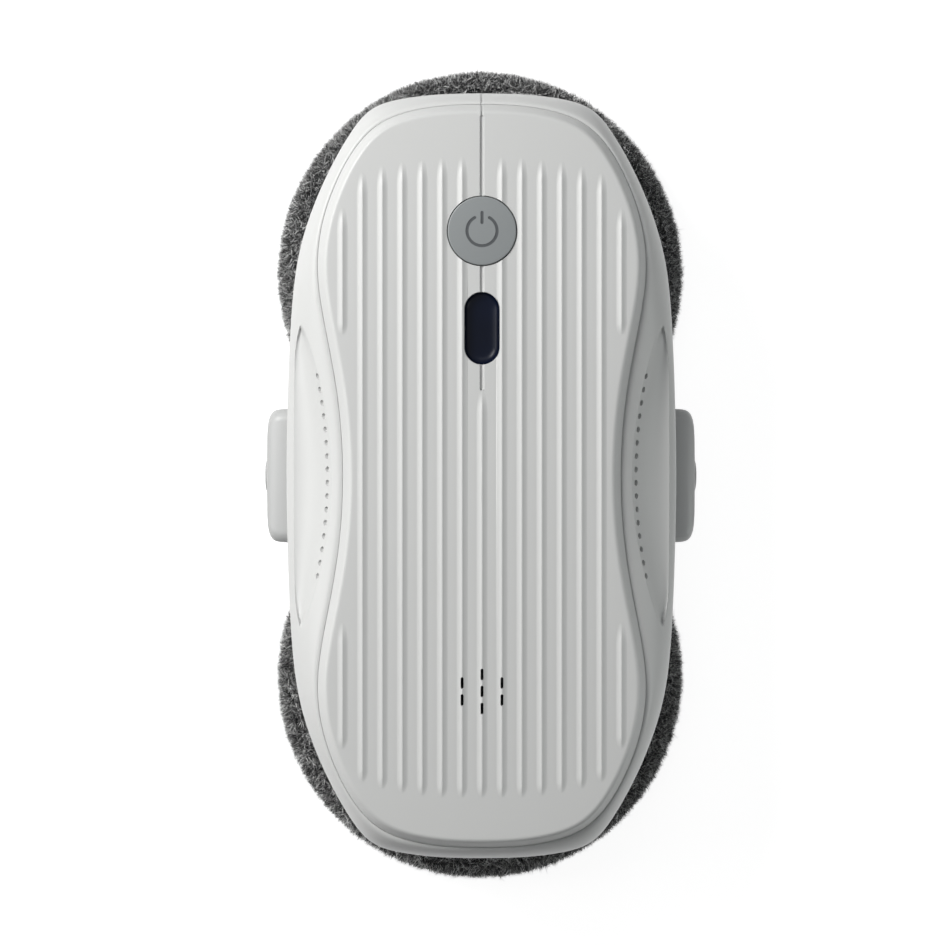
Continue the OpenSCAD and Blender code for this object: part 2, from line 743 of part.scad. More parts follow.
module lower_housing() {
    edge = tuck + wall;
    rim_z = parting_z + tongue_h;
    in_joint = tuck_at(parting_z) + wall + tongue_gap;
    lift = wall * 0.65;
    loops = concat(
        [outline_loop(-tuck_at(parting_z), parting_z), outline_loop(-in_joint, parting_z),
         outline_loop(-in_joint, rim_z), outline_loop(-in_joint - tongue_t, rim_z),
         outline_loop(-in_joint - tongue_t, parting_z - tongue_h)],
        [for (q = [0.72, 0.3]) let(z = floor_z + q * (parting_z - floor_z))
            outline_loop(-wall - tuck_at(z), z)],
        [outline_loop(-edge - sink, floor_z + lift), outline_loop(-edge - sink, floor_z),
         outline_loop(-tuck - lift, floor_z),
         outline_loop(-tuck_at(floor_z + lift) - sink / 2, floor_z + lift)],
        [for (q = [0.2, 0.44, 0.72]) let(z = floor_z + q * (parting_z - floor_z))
            outline_loop(-tuck_at(z), z)]);
    color("gainsboro") difference() {
        union() {
            skin(back(loops), true);
            translate([0, 0, floor_z]) linear_extrude(floor_t)
                polygon(flat(outline_loop(-tuck - lift - sink, 0)));
            for (e = [-1, 1]) {
                translate([0, e * wheel_y, floor_z])
                    cylinder(r = well_r + well_wall, h = roof_top - floor_z, $fn = 96);
                translate([e * pinion_x, e * pinion_y, floor_z])
                    cylinder(r = pinion_well_r + well_wall, h = roof_top - floor_z, $fn = 64);
                translate([0, e * wheel_y, roof_z]) cylinder(r = boss_r, h = axle_in_boss, $fn = 64);
            }
            at_list(housing_screw_at) translate([0, 0, floor_z])
                cylinder(r = housing_boss_r, h = parting_z - floor_z, $fn = 32);
            at_list(board_post_at) translate([0, 0, roof_z])
                cylinder(d = post_d, h = board_z - roof_z, $fn = 24);
            at_list(tray_post_at) translate([0, 0, roof_z])
                cylinder(d = post_d, h = tray_z - roof_z, $fn = 24);
            for (side = [-1, 1])
                translate([side > 0 ? guide_x : -guide_x - guide_t, -guide_half, floor_z + floor_t / 2])
                    cube([guide_t, 2 * guide_half, guide_h]);
            anchor_pocket();
        }
        for (e = [-1, 1]) {
            translate([0, e * wheel_y, floor_z - over])
                cylinder(r = well_r, h = roof_z - floor_z + over, $fn = 96);
            translate([e * pinion_x, e * pinion_y, floor_z - over])
                cylinder(r = pinion_well_r, h = roof_z - floor_z + over, $fn = 64);
            translate([e * pinion_x, e * pinion_y, roof_z - over])
                cylinder(r = motor_boss_r + motor_boss_gap, h = roof_t + 2 * over, $fn = 32);
            translate([0, e * wheel_y, roof_z - over])
                cylinder(d = axle_dia, h = axle_in_boss + 2 * over, $fn = 48);
            translate([0, e * wheel_y, 0]) port_cut();
            for (k = [-1, 1])
                translate([e * pinion_x + k * motor_screw_off, e * pinion_y - k * motor_screw_off, roof_z - over])
                    cylinder(r = screw_r + screw_free, h = roof_t + 2 * over, $fn = 24);
        }
        at_list(housing_screw_at) {
            translate([0, 0, floor_z - over])
                cylinder(r = screw_head_r + screw_head_free, h = shoulder_low_z - floor_z + over, $fn = 24);
            translate([0, 0, shoulder_low_z - over])
                cylinder(r = screw_r + screw_free, h = screw_web + 2 * over, $fn = 24);
        }
        at_list(board_post_at) translate([0, 0, board_z - inner_screw_l])
            cylinder(r = screw_r, h = inner_screw_l + over, $fn = 24);
        at_list(tray_post_at) translate([0, 0, tray_z - inner_screw_l])
            cylinder(r = screw_r, h = inner_screw_l + over, $fn = 24);
        for (side = [-1, 1]) {
            translate([side > 0 ? flange_x : -flange_x - bumper_deep - run_gap, -bumper_half - run_gap,
                bumper_mid_z - bumper_h / 2 - run_gap])
                cube([bumper_deep + run_gap, bumper_l + 2 * run_gap, bumper_h + 2 * run_gap]);
            for (k = [-1, 1]) translate([side * (guide_x - over), k * post_y, bumper_mid_z])
                rotate([0, side * 90, 0]) cylinder(r = post_r + run_fit, h = guide_t + 2 * over, $fn = 32);
            translate([side > 0 ? guide_x - over : -guide_x - guide_t - over, -flag_slot[0] / 2,
                bumper_mid_z - flag_slot[1] / 2])
                cube([guide_t + 2 * over, flag_slot[0], flag_slot[1]]);
        }
        translate([-inlet_x, half_l + over, inlet_z]) rotate([90, 0, 0])
            cylinder(r = inlet_barrel_r + inlet_barrel_gap, h = inlet_barrel_l + wall + over, $fn = 48);
        anchor_hollow();
    }
}

module port_cut() {
    translate([0, 0, roof_z - over]) difference() {
        cylinder(r = port_r, h = roof_t + 2 * over, $fn = 96);
        translate([0, 0, -over]) cylinder(r = port_in_r, h = roof_t + 4 * over, $fn = 64);
        for (a = [0:60:150]) rotate(a) translate([-port_r - over, -port_spoke_w / 2, -over])
            cube([2 * port_r + 2 * over, port_spoke_w, roof_t + 4 * over]);
    }
}

inlet_face_y = half_l - tuck_at(inlet_z) - inlet_face_in;
module anchor_pocket() {
    w = anchor_hole + 2 * anchor_wall;
    translate([inlet_x - w / 2, inlet_face_y - anchor_deep - anchor_wall, inlet_z - w / 2])
        cube([w, anchor_deep + anchor_wall - over, w]);
}
module anchor_hollow() {
    translate([inlet_x - anchor_hole / 2, inlet_face_y - anchor_deep, inlet_z - anchor_hole / 2])
        cube([anchor_hole, anchor_deep + tuck + over, anchor_hole]);
    translate([inlet_x - anchor_hole / 2 - anchor_pin_over, inlet_face_y - anchor_pin_in, inlet_z])
        rotate([0, 90, 0]) cylinder(r = anchor_pin_r, h = anchor_hole + 2 * anchor_pin_over, $fn = 32);
}
module rope_pin() {
    color("silver") translate([inlet_x - anchor_hole / 2 - anchor_pin_over, inlet_face_y - anchor_pin_in, inlet_z])
        rotate([0, 90, 0]) cylinder(r = anchor_pin_r, h = anchor_hole + 2 * anchor_pin_over, $fn = 32);
}
module power_inlet() {
    color("dimgray") {
        translate([-inlet_x, inlet_face_y, inlet_z]) rotate([90, 0, 0]) difference() {
            cylinder(r = inlet_barrel_r, h = inlet_barrel_l, $fn = 48);
            translate([0, 0, -over])
                cylinder(r = inlet_barrel_r - inlet_barrel_wall, h = inlet_mouth_l + over, $fn = 48);
        }
        translate([-inlet_x - inlet_body[0] / 2, inlet_face_y - inlet_body_back - inlet_body[1],
            inlet_z - inlet_body[2] / 2]) cube(inlet_body);
        translate([-inlet_x, inlet_face_y - over, inlet_z]) rotate([90, 0, 0])
            cylinder(r = inlet_pin_r, h = inlet_pin_l, $fn = 24);
    }
}

module pad() {
    w = pad_r - pad_hole_r;
    rim_in = wheel_r + rim_gap;
    rim_w = pad_r - rim_in;
    color("dimgray") rotate_extrude($fn = 96)
        polygon(concat(
            [for (q = pad_foot_share) [pad_hole_r + w * q[0], pile_h * q[1]]],
            [for (q = pad_rim_share) [rim_in + rim_w * q[0], pile_h + rim_h * q[1]]]));
}
module pad_backing() {
    color("darkgray") tube(wheel_r, pad_hole_r + backing_hole_in, pile_h, loop_h);
}
module hook_ring() {
    color("black") tube(wheel_r - hooks_in, pad_hole_r + hooks_hole_in, hook_z, hook_h);
}
module wheel() {
    collar_r = hub_r + run_fit;
    spoke_in_r = collar_r + collar_w - spoke_bite;
    color([0.15, 0.15, 0.16]) {
        rotate_extrude($fn = 96)
            polygon([[disc_in_r, disc_z], [wheel_r, disc_z], [wheel_r, gear_z], [disc_in_r, gear_z]]);
        rotate_extrude($fn = 96)
            polygon([[collar_r, disc_z], [collar_r + collar_w, disc_z],
                [collar_r + collar_w, gear_z], [collar_r, gear_z]]);
        for (a = [0:60:300]) rotate(a)
            translate([spoke_in_r, -spoke_w / 2, disc_z + spoke_inset])
                cube([disc_in_r + spoke_bite - spoke_in_r, spoke_w, wheel_h - 2 * spoke_inset]);
    }
}
module wheel_hub() {
    out_r = bearing_od / 2;
    lip_r = out_r - bearing_lip;
    seat_z = bearing_low_z + bearing_h;
    color([0.15, 0.15, 0.16]) rotate_extrude($fn = 96)
        polygon([[out_r, hub_z], [hub_r, hub_z], [hub_r, hub_top], [out_r, hub_top],
            [out_r, bearing_high_z], [lip_r, bearing_high_z], [lip_r, seat_z], [out_r, seat_z]]);
}
module bearings() {
    groove = 0.4;
    rim = 1.7;
    color("silver") for (z = [bearing_low_z, bearing_high_z]) translate([0, 0, z]) rotate_extrude($fn = 64)
        polygon([[axle_dia / 2 + run_fit, 0], [axle_dia / 2 + run_fit + rim, 0],
            [axle_dia / 2 + run_fit + rim, groove], [bearing_od / 2 - rim, groove],
            [bearing_od / 2 - rim, 0], [bearing_od / 2, 0], [bearing_od / 2, bearing_h],
            [bearing_od / 2 - rim, bearing_h], [bearing_od / 2 - rim, bearing_h - groove],
            [axle_dia / 2 + run_fit + rim, bearing_h - groove], [axle_dia / 2 + run_fit + rim, bearing_h],
            [axle_dia / 2 + run_fit, bearing_h]]);
}
module axle() {
    color("silver") difference() {
        translate([0, 0, axle_low_z]) cylinder(d = axle_dia, h = axle_top - axle_low_z, $fn = 48);
        translate([0, 0, axle_low_z - over]) cylinder(r = axle_screw_r, h = axle_screw_bore + over, $fn = 32);
    }
}
module axle_washers() {
    color("silver") for (e = [-1, 1]) translate([0, e * wheel_y, 0])
        tube(washer_r, axle_screw_r + washer_gap, axle_low_z - washer_t, washer_t);
}
module axle_screws() {
    color("silver") for (e = [-1, 1]) translate([0, e * wheel_y, axle_low_z - washer_t]) {
        difference() {
            translate([0, 0, -axle_screw_head_h])
                cylinder(r1 = axle_screw_head_r * 0.8, r2 = axle_screw_head_r, h = axle_screw_head_h, $fn = 32);
            translate([0, 0, -axle_screw_head_h - over]) cylinder(r = key_r, h = key_deep + over, $fn = 6);
        }
        cylinder(r = axle_screw_r, h = axle_screw_l, $fn = 32);
    }
}

// Spur gear: teeth with straight flanks, thinner than their gaps for free running.
module gear(teeth, bore, h, turn) {
    p = teeth * gear_module / 2;
    tip = p + tip_share * gear_module;
    root = p - root_share * gear_module;
    q = 90 / teeth;
    difference() {
        linear_extrude(h) rotate(turn) polygon([for (i = [0:teeth - 1], c = [0:3])
            let(a = i * 360 / teeth, f = tooth_shares[c], r = c == 0 || c == 3 ? root : tip)
            [r * cos(a + f * q), r * sin(a + f * q)]]);
        translate([0, 0, -over]) cylinder(r = bore, h = h + 2 * over, $fn = 64);
    }
}
module ring_gear() {
    color("ivory") translate([0, 0, gear_z])
        gear(ring_teeth, pitch_r - root_share * gear_module - gear_rim, gear_h, 0);
}
module pinion() {
    color("ivory") translate([pinion_x, pinion_y - wheel_y, pinion_z])
        gear(pinion_teeth, shaft_r, pinion_h, 180 / pinion_teeth);
}
module pinion_shaft() {
    color("silver") translate([pinion_x, pinion_y - wheel_y, pinion_z - shaft_end])
        cylinder(r = shaft_r, h = roof_top - pinion_z + shaft_end + shaft_in_motor, $fn = 32);
}
module gear_motor() {
    r = motor_dia / 2;
    top = gearbox_l + motor_can_l;
    color("silver") translate([pinion_x, pinion_y - wheel_y, roof_top]) difference() {
        union() {
            cylinder(r = r, h = gearbox_l, $fn = 64);
            translate([0, 0, gearbox_l]) cylinder(r = r - motor_can_step, h = motor_can_l, $fn = 64);
            translate([0, 0, top]) cylinder(r = motor_cap_r, h = motor_cap_l, $fn = 32);
            for (k = [-1, 1]) translate([k * tab_off - tab[0] / 2, -tab[1] / 2, top]) cube(tab);
            translate([0, 0, -roof_t]) cylinder(r = motor_boss_r, h = roof_t + over, $fn = 32);
        }
        translate([0, 0, -roof_t - over])
            cylinder(r = shaft_r + run_fit, h = roof_t + motor_bore_l + over, $fn = 32);
        for (k = [-1, 1]) translate([k * motor_screw_off, -k * motor_screw_off, -over])
            cylinder(r = screw_r, h = motor_screw_l + over, $fn = 24);
    }
}
module seal() {
    out_r = seal_in_r + seal_w;
    lip_z = gear_z + run_gap;
    color([0.2, 0.2, 0.2]) rotate_extrude($fn = 96)
        polygon([[seal_in_r, roof_z], [seal_in_r, roof_z - seal_foot],
            [out_r - 1.3 * seal_t, roof_z - seal_neck],
            [seal_in_r, lip_z + seal_t / 2], [seal_in_r, lip_z], [seal_in_r + 0.75 * seal_t, lip_z],
            [out_r - 0.3 * seal_t, roof_z - seal_neck], [out_r, roof_z - seal_foot], [out_r, roof_z]]);
}

module vacuum_duct() {
    h = duct_h - duct_wall;
    color("slategray") translate([0, 0, duct_z]) difference() {
        union() {
            for (e = [-1, 1]) translate([0, e * wheel_y, 0]) cylinder(r = duct_r, h = duct_h, $fn = 64);
            translate([-duct_w / 2, -wheel_y, 0]) cube([duct_w, 2 * wheel_y, duct_h]);
            cylinder(r = duct_mid_r, h = duct_h, $fn = 64);
        }
        for (e = [-1, 1]) translate([0, e * wheel_y, -over])
            cylinder(r = duct_r - duct_wall, h = h + over, $fn = 64);
        translate([-duct_w / 2 + duct_wall, -wheel_y, duct_wall])
            cube([duct_w - 2 * duct_wall, 2 * wheel_y, h - duct_wall]);
        translate([0, 0, duct_wall]) cylinder(r = duct_mid_r - duct_wall, h = h - duct_wall, $fn = 64);
        translate([0, 0, duct_wall]) cylinder(r = inlet_r, h = duct_h, $fn = 64);
    }
}
module fan_gasket() {
    color([0.2, 0.2, 0.2]) tube(gasket_out_r, inlet_r + gasket_in_gap, duct_top, gasket_t);
}
module fan_housing() {
    color("slategray") translate([0, 0, fan_z]) difference() {
        cylinder(r = fan_r, h = fan_h, $fn = 96);
        translate([0, 0, fan_wall]) cylinder(r = fan_r - fan_wall, h = fan_h - 2 * fan_wall, $fn = 96);
        translate([0, 0, -over]) cylinder(r = inlet_r, h = fan_wall + 2 * over, $fn = 64);
        translate([0, 0, fan_h - fan_wall - over])
            cylinder(r = fan_shaft_hole_r, h = fan_wall + 2 * over, $fn = 32);
        for (side = [0, 180]) rotate(side) translate([fan_r - fan_port_w, fan_port_off, fan_port_edge])
            cube([fan_port_w + over, fan_port_w, fan_h - 2 * fan_port_edge]);
    }
}
module fan_impeller() {
    r = fan_r - impeller_gap;
    step = (r - impeller_hub_r) / blade_steps;
    color("whitesmoke") translate([0, 0, fan_z + impeller_lift]) difference() {
        union() {
            translate([0, 0, blade_h - impeller_disc_t / 4]) cylinder(r = r, h = impeller_disc_t, $fn = 64);
            cylinder(r = impeller_hub_r, h = blade_h, $fn = 32);
            for (a = [0:360 / fan_blades:359]) rotate(a) linear_extrude(blade_h)
                polygon(concat(
                    [for (k = [0:blade_steps]) let(d = blade_root_r + k * step, c = k * blade_turn)
                        [d * cos(c), d * sin(c)]],
                    [for (k = [blade_steps:-1:0])
                        let(d = blade_root_r + k * step, c = k * blade_turn + blade_taper / (1 + k))
                        [d * cos(c), d * sin(c)]]));
        }
        translate([0, 0, -over])
            cylinder(r = fan_shaft_r, h = blade_h + impeller_disc_t + 2 * over, $fn = 24);
    }
}
module fan_shaft() {
    color("silver") translate([0, 0, fan_z + fan_shaft_lift])
        cylinder(r = fan_shaft_r, h = fan_h + fan_shaft_over, $fn = 24);
}
module fan_motor() {
    color("silver") translate([0, 0, fan_top]) difference() {
        union() {
            cylinder(r = fan_motor_r, h = fan_motor_l, $fn = 64);
            translate([0, 0, fan_motor_l]) cylinder(r = fan_motor_cap_r, h = fan_motor_cap_l, $fn = 32);
        }
        translate([0, 0, -over]) cylinder(r = fan_shaft_r + run_fit, h = fan_motor_bore_l + over, $fn = 24);
    }
}

module battery_tray() {
    color("dimgray") difference() {
        union() {
            translate([-tray[0] / 2, -tray_end, tray_z]) cube(tray);
            for (x = [-tray[0] / 2, tray[0] / 2 - tray[2]]) translate([x, -tray_end, tray_z])
                cube([tray[2], tray[1], tray_wall_h]);
        }
        at_list(tray_post_at) translate([0, 0, tray_z - over])
            cylinder(r = screw_r + screw_free, h = tray[2] + 2 * over, $fn = 24);
        at_list(tray_post_at) translate([0, 0, tray_z + tray[2] - tray_screw_in])
            cylinder(r = screw_head_r + screw_free, h = tray_screw_in + over, $fn = 24);
    }
}
module battery_cells() {
    color("steelblue") for (k = [0:cells - 1])
        translate([-cell_l / 2, -cell_first - k * cell_pitch, cell_z]) rotate([0, 90, 0]) {
            cylinder(d = cell_dia, h = cell_l - cell_tip_l, $fn = 48);
            translate([0, 0, cell_l - cell_tip_l]) cylinder(r = cell_tip_r, h = cell_tip_l, $fn = 24);
        }
}
module battery_cradle() {
    color("dimgray") for (side = [-1, 1])
        translate([side * cradle_x - cradle_w / 2, 0, 0]) difference() {
            translate([0, -tray_end, tray_z + tray[2]]) cube([cradle_w, tray[1], cradle_h]);
            for (k = [0:cells - 1]) translate([-over, -cell_first - k * cell_pitch, cell_z])
                rotate([0, 90, 0]) cylinder(r = cell_dia / 2 + cradle_gap, h = cradle_w + 2 * over, $fn = 48);
        }
}

module main_board() {
    color("darkgreen") difference() {
        union() {
            translate([-board[0] / 2, board_y, board_z]) cube([board[0], board[1], board_h]);
            translate([-board_tongue[0] / 2, board_tongue_y, board_z])
                cube([board_tongue[0], board_tongue[1], board_h]);
        }
        at_list(board_post_at) translate([0, 0, board_z - over])
            cylinder(r = screw_r + screw_free, h = board_h + 2 * over, $fn = 24);
    }
}
module board_parts() {
    color("black") translate([0, board_y, board_z + board_h]) {
        translate(chip_at) cube(chip);
        translate(driver_at) cube(driver);
        for (k = [0:3]) translate([relay_at[0] + k * relay_pitch, relay_at[1]]) cube(relay);
        translate(can_at) cylinder(r = can_r, h = can_h, $fn = 32);
        for (q = plug_at) translate(q) cube(plug);
        translate(header_at) cube(header);
        translate(coil_at) cube(coil_box);
    }
}
module ir_receiver() {
    z = board_z + board_h;
    color("black") {
        translate([-eye_box[0] / 2, window_y - eye_back, z]) cube(eye_box);
        translate([0, window_y - eye_back + eye_box[1], z + eye_z]) rotate([-90, 0, 0])
            cylinder(r = eye_r, h = eye_l, $fn = 32);
    }
}
module switch_body() {
    z = board_z + board_h;
    color("black") difference() {
        translate([-switch_box[0] / 2, button_y - switch_box[1] / 2, z]) cube(switch_box);
        translate([0, button_y, z + switch_well_z]) cylinder(r = switch_well_r, h = switch_box[2], $fn = 24);
    }
}

module power_button() {
    r = button_r;
    color("gray") translate([0, button_y, 0]) {
        rotate_extrude($fn = 96) polygon([[0, flange_z], [r + flange_out, flange_z],
            [r + flange_out, flange_z + flange_h], [r, flange_z + flange_h], [r, button_top - button_edge],
            [r - button_edge, button_top], [0, button_top]]);
        translate([0, 0, stem_low]) cylinder(r = stem_r, h = flange_z - stem_low + sink, $fn = 32);
    }
}
module switch_plunger() {
    z = board_z + board_h + plunger_z;
    color("white") translate([0, button_y, z]) cylinder(r = plunger_r, h = stem_low - z, $fn = 24);
}
module button_cup() {
    in_r = button_r + cup_in_gap;
    color("dimgray") translate([0, button_y, 0]) rotate_extrude($fn = 64)
        polygon([[stem_r + stem_fit, cup_z], [in_r + cup_wall, cup_z], [in_r + cup_wall, plate_under],
            [in_r, plate_under], [in_r, cup_z + cup_t], [stem_r + stem_fit, cup_z + cup_t]]);
}

// Round wire wound along a helix.
module coil(mean_r, wire_r, height, turns) {
    per = 14;
    side = 6;
    count = round(turns * per);
    rows = [for (i = [0:count])
        let(a = i * 360 / per, z = wire_r + (height - 2 * wire_r) * i / count)
        [for (k = [0:side - 1]) let(b = k * 360 / side)
            [(mean_r + wire_r * cos(b)) * cos(a), (mean_r + wire_r * cos(b)) * sin(a), z + wire_r * sin(b)]]];
    skin(rows, false);
}
module button_spring() {
    z = cup_z + cup_t + spring_end;
    color("silver") translate([0, button_y, z])
        coil(button_spring_r, button_wire_r, flange_z - z - spring_end, 2);
}

// A bumper is a pillow-shaped block on a flange with two guide posts and a flag.
corner_share = 0.45;
function block_loop(x, a, b) =
    let(r = min(a, b) * corner_share)
    [for (c = [0:3], k = [0:3]) let(t = c * 90 + k * 30)
        [x, (c == 0 || c == 3 ? 1 : -1) * (a - r) + r * cos(t), (c < 2 ? 1 : -1) * (b - r) + r * sin(t)]];
module bumper() {
    a = bumper_half;
    b = bumper_h / 2;
    block = concat([block_loop(flange_x + block_back, a, b)],
        [for (k = [0:5]) block_loop(bumper_x - pillow[k], a * pillow_y_share[k], b * pillow_z_share[k])]);
    color("gray") translate([0, 0, bumper_mid_z]) difference() {
        union() {
            skin(block, false);
            translate([flange_x, -a - flange_edge, -b - flange_lip])
                cube([flange_t, 2 * (a + flange_edge), 2 * (b + flange_lip)]);
            for (k = [-1, 1]) translate([guide_x - post_over, k * post_y, 0]) rotate([0, 90, 0])
                cylinder(r = post_r, h = flange_x - guide_x + post_over + sink, $fn = 32);
            translate([guide_x + run_gap, -flag_t / 2, -flag_half_h])
                cube([flange_x - guide_x, flag_t, 2 * flag_half_h]);
        }
        translate([bumper_x - cap_seat, 0, 0]) rotate([0, 90, 0])
            cylinder(r = cap_dia / 2 + cap_gap, h = cap_seat + over, $fn = 48);
        for (k = [-1, 1]) translate([flange_x + flange_t + pocket_x, k > 0 ? pocket_y : -pocket_y - pocket[1],
            pocket[2] - b])
            cube([pocket[0], pocket[1], 2 * (b - pocket[2])]);
    }
}
module bumper_cap() {
    r = cap_dia / 2;
    h = [for (q = cap_h_share) q * r];
    color("gray") translate([bumper_x - cap_seat, 0, bumper_mid_z]) rotate([0, 90, 0]) rotate_extrude($fn = 48)
        polygon([[0, 0], [r, 0], [r, h[0]], [r * 0.85, h[1]], [r * 0.55, h[2]], [0, h[3]]]);
}
module bumper_springs() {
    z = guide_x + guide_t + spring_end;
    color("silver") for (k = [-1, 1]) translate([z, k * post_y, bumper_mid_z]) rotate([0, 90, 0])
        coil(spring_r, spring_wire_r, flange_x - z - spring_end, 4.5);
}
module bumper_sensor() {
    b = sensor_board;
    color("darkgreen") translate([sensor_x, -b[1] / 2, floor_z + floor_t]) cube(b);
    color("black") translate([sensor_x + b[0], -sensor_box[1] / 2, bumper_mid_z - sensor_box[2] / 2]) difference() {
        cube(sensor_box);
        translate([sensor_box[0] - sensor_slot_deep, (sensor_box[1] - sensor_slot_w) / 2, -over])
            cube([sensor_slot_deep + over, sensor_slot_w, sensor_box[2] + 2 * over]);
    }
}

module screw(z, l, head_below) {
    translate([0, 0, z]) {
        translate([0, 0, head_below ? -screw_head_h : 0]) difference() {
            cylinder(r = screw_head_r, h = screw_head_h, $fn = 24);
            for (a = [0, 90]) rotate(a) translate([-screw_slot[0] / 2, -screw_slot[1] / 2,
                head_below ? -over : screw_head_h - screw_slot_deep])
                cube([screw_slot[0], screw_slot[1], screw_slot_deep + over]);
        }
        translate([0, 0, head_below ? 0 : -l]) cylinder(r = screw_r, h = l, $fn = 24);
    }
}
module housing_screws() {
    color("silver") at_list(housing_screw_at) screw(shoulder_low_z, housing_screw_l, true);
}
module inner_screws() {
    color("silver") {
        at_list(board_post_at) screw(board_z + board_h, inner_screw_l, false);
        at_list(tray_post_at) screw(tray_z + tray[2] - tray_screw_in, inner_screw_l, false);
        for (e = [-1, 1], k = [-1, 1])
            translate([e * pinion_x + k * motor_screw_off, e * pinion_y - k * motor_screw_off, 0])
                screw(roof_z, motor_screw_l, true);
    }
}

module speaker() {
    r = speaker_dia / 2;
    z = plate_under;
    color("dimgray") translate([0, -sound_y, 0]) rotate_extrude($fn = 48)
        polygon([[0, z - speaker_h], [magnet_r, z - speaker_h], [magnet_r, z - speaker_h + magnet_h],
            [r - speaker_rim, z - basket_h], [r, z - basket_h], [r, z], [r - speaker_rim, z],
            [r - speaker_rim - cone_in, z - cone_in], [cone_mid_r, z - cone_deep], [0, z - cone_mid]]);
}
module window_lens() {
    color([0.04, 0.06, 0.08]) translate([0, window_y, 0]) {
        pill(window_w, window_l, plate_under - lens_low, wall - lens_rise);
        pill(window_w + lens_lip, window_l + lens_lip, plate_under - lens_lip_h, lens_lip_h);
    }
}

top_cover();
upper_shell();
lower_housing();
power_button();
switch_plunger();
switch_body();
button_cup();
button_spring();
window_lens();
ir_receiver();
speaker();
main_board();
board_parts();
bumper();  // right_bumper
rotate(180) bumper();  // left_bumper
bumper_cap();  // right_bumper_cap
rotate(180) bumper_cap();  // left_bumper_cap
bumper_springs();  // right_bumper_springs
rotate(180) bumper_springs();  // left_bumper_springs
bumper_sensor();  // right_bumper_sensor
rotate(180) bumper_sensor();  // left_bumper_sensor
both_ends(true) wheel();  // front_wheel
both_ends(true) wheel_hub();  // front_wheel_hub
both_ends(true) ring_gear();  // front_ring_gear
both_ends(true) hook_ring();  // front_hook_ring
both_ends(true) pad_backing();  // front_pad_backing
both_ends(true) pad();  // front_pad
both_ends(true) bearings();  // front_bearings
both_ends(true) axle();  // front_axle
both_ends(true) seal();  // front_seal
both_ends(true) gear_motor();  // front_gear_motor
both_ends(true) pinion();  // front_pinion
both_ends(true) pinion_shaft();  // front_pinion_shaft
both_ends(false) wheel();  // rear_wheel
both_ends(false) wheel_hub();  // rear_wheel_hub
both_ends(false) ring_gear();  // rear_ring_gear
both_ends(false) hook_ring();  // rear_hook_ring
both_ends(false) pad_backing();  // rear_pad_backing
both_ends(false) pad();  // rear_pad
both_ends(false) bearings();  // rear_bearings
both_ends(false) axle();  // rear_axle
both_ends(false) seal();  // rear_seal
both_ends(false) gear_motor();  // rear_gear_motor
both_ends(false) pinion();  // rear_pinion
both_ends(false) pinion_shaft();  // rear_pinion_shaft
axle_washers();
axle_screws();
vacuum_duct();
fan_gasket();
fan_housing();
fan_impeller();
fan_shaft();
fan_motor();
battery_tray();
battery_cradle();
battery_cells();
power_inlet();
rope_pin();
housing_screws();
inner_screws();
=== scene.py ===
"""Looks of a window cleaning robot with two turning pads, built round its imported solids.

Sizes are in millimetres and are turned into metres where a mesh is made. +Z points away from
the glass and +Y towards the end with the power button.
"""

import json
import math

import bmesh
import bpy
import numpy as np
from mathutils import Matrix, Vector


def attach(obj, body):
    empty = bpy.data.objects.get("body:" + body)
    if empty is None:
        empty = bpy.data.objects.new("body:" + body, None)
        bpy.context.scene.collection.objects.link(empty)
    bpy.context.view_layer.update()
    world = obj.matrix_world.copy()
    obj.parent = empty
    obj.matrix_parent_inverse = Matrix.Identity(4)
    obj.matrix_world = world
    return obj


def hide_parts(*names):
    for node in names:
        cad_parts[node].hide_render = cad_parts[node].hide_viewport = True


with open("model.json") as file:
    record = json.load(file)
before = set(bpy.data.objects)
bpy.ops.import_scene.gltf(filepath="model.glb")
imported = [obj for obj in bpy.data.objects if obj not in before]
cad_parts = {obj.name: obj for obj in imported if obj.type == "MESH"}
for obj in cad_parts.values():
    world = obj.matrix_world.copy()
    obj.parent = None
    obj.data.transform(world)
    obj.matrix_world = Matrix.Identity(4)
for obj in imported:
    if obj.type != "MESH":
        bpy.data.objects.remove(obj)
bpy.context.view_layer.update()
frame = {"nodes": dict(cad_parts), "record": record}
MM = 0.001

# Body
half_l, half_w = 134.5, 68.7
seam_half_l, seam_half_w = 129.1, 57.8
floor_z, parting_z, belt_z, seam_z, plate_z = 19.5, 48.0, 62.0, 79.5, 83.5
tuck, wall, seam_gap, crown = 4.0, 2.4, 0.07, 0.6
plate_under = plate_z - wall
ledge_z, ledge_w, ledge_d = 77.0, 3.4, 2.2
skirt_in, skirt_flare, skirt_drop = 2.6, 4.0, 1.5
bevel_w, bevel_drop, bevel_lip_share, bevel_face_share = 4.0, 0.3, 0.0625, 0.44
straight_share, shoulder_even_w = 0.55, 20.8
joint_straight, inner_straight = 4.0, 8.0
joint_gap, joint_chamfer, joint_rise = 0.1, 0.3, 0.35
outline_x_share = [0, 0.2, 0.39, 0.565, 0.665, 0.779, 0.88, 0.951, 0.979, 0.994, 1.002]
outline_y_share = [1, 0.999, 0.989, 0.969, 0.905, 0.804, 0.686, 0.561, 0.408, 0.208, 0]
seam_x_share = [0, 0.21, 0.43, 0.628, 0.769, 0.877, 0.967, 1, 0.959, 0.86, 0.825]
seam_y_share = [1.001, 0.999, 0.985, 0.953, 0.885, 0.796, 0.685, 0.561, 0.43, 0.225, 0]

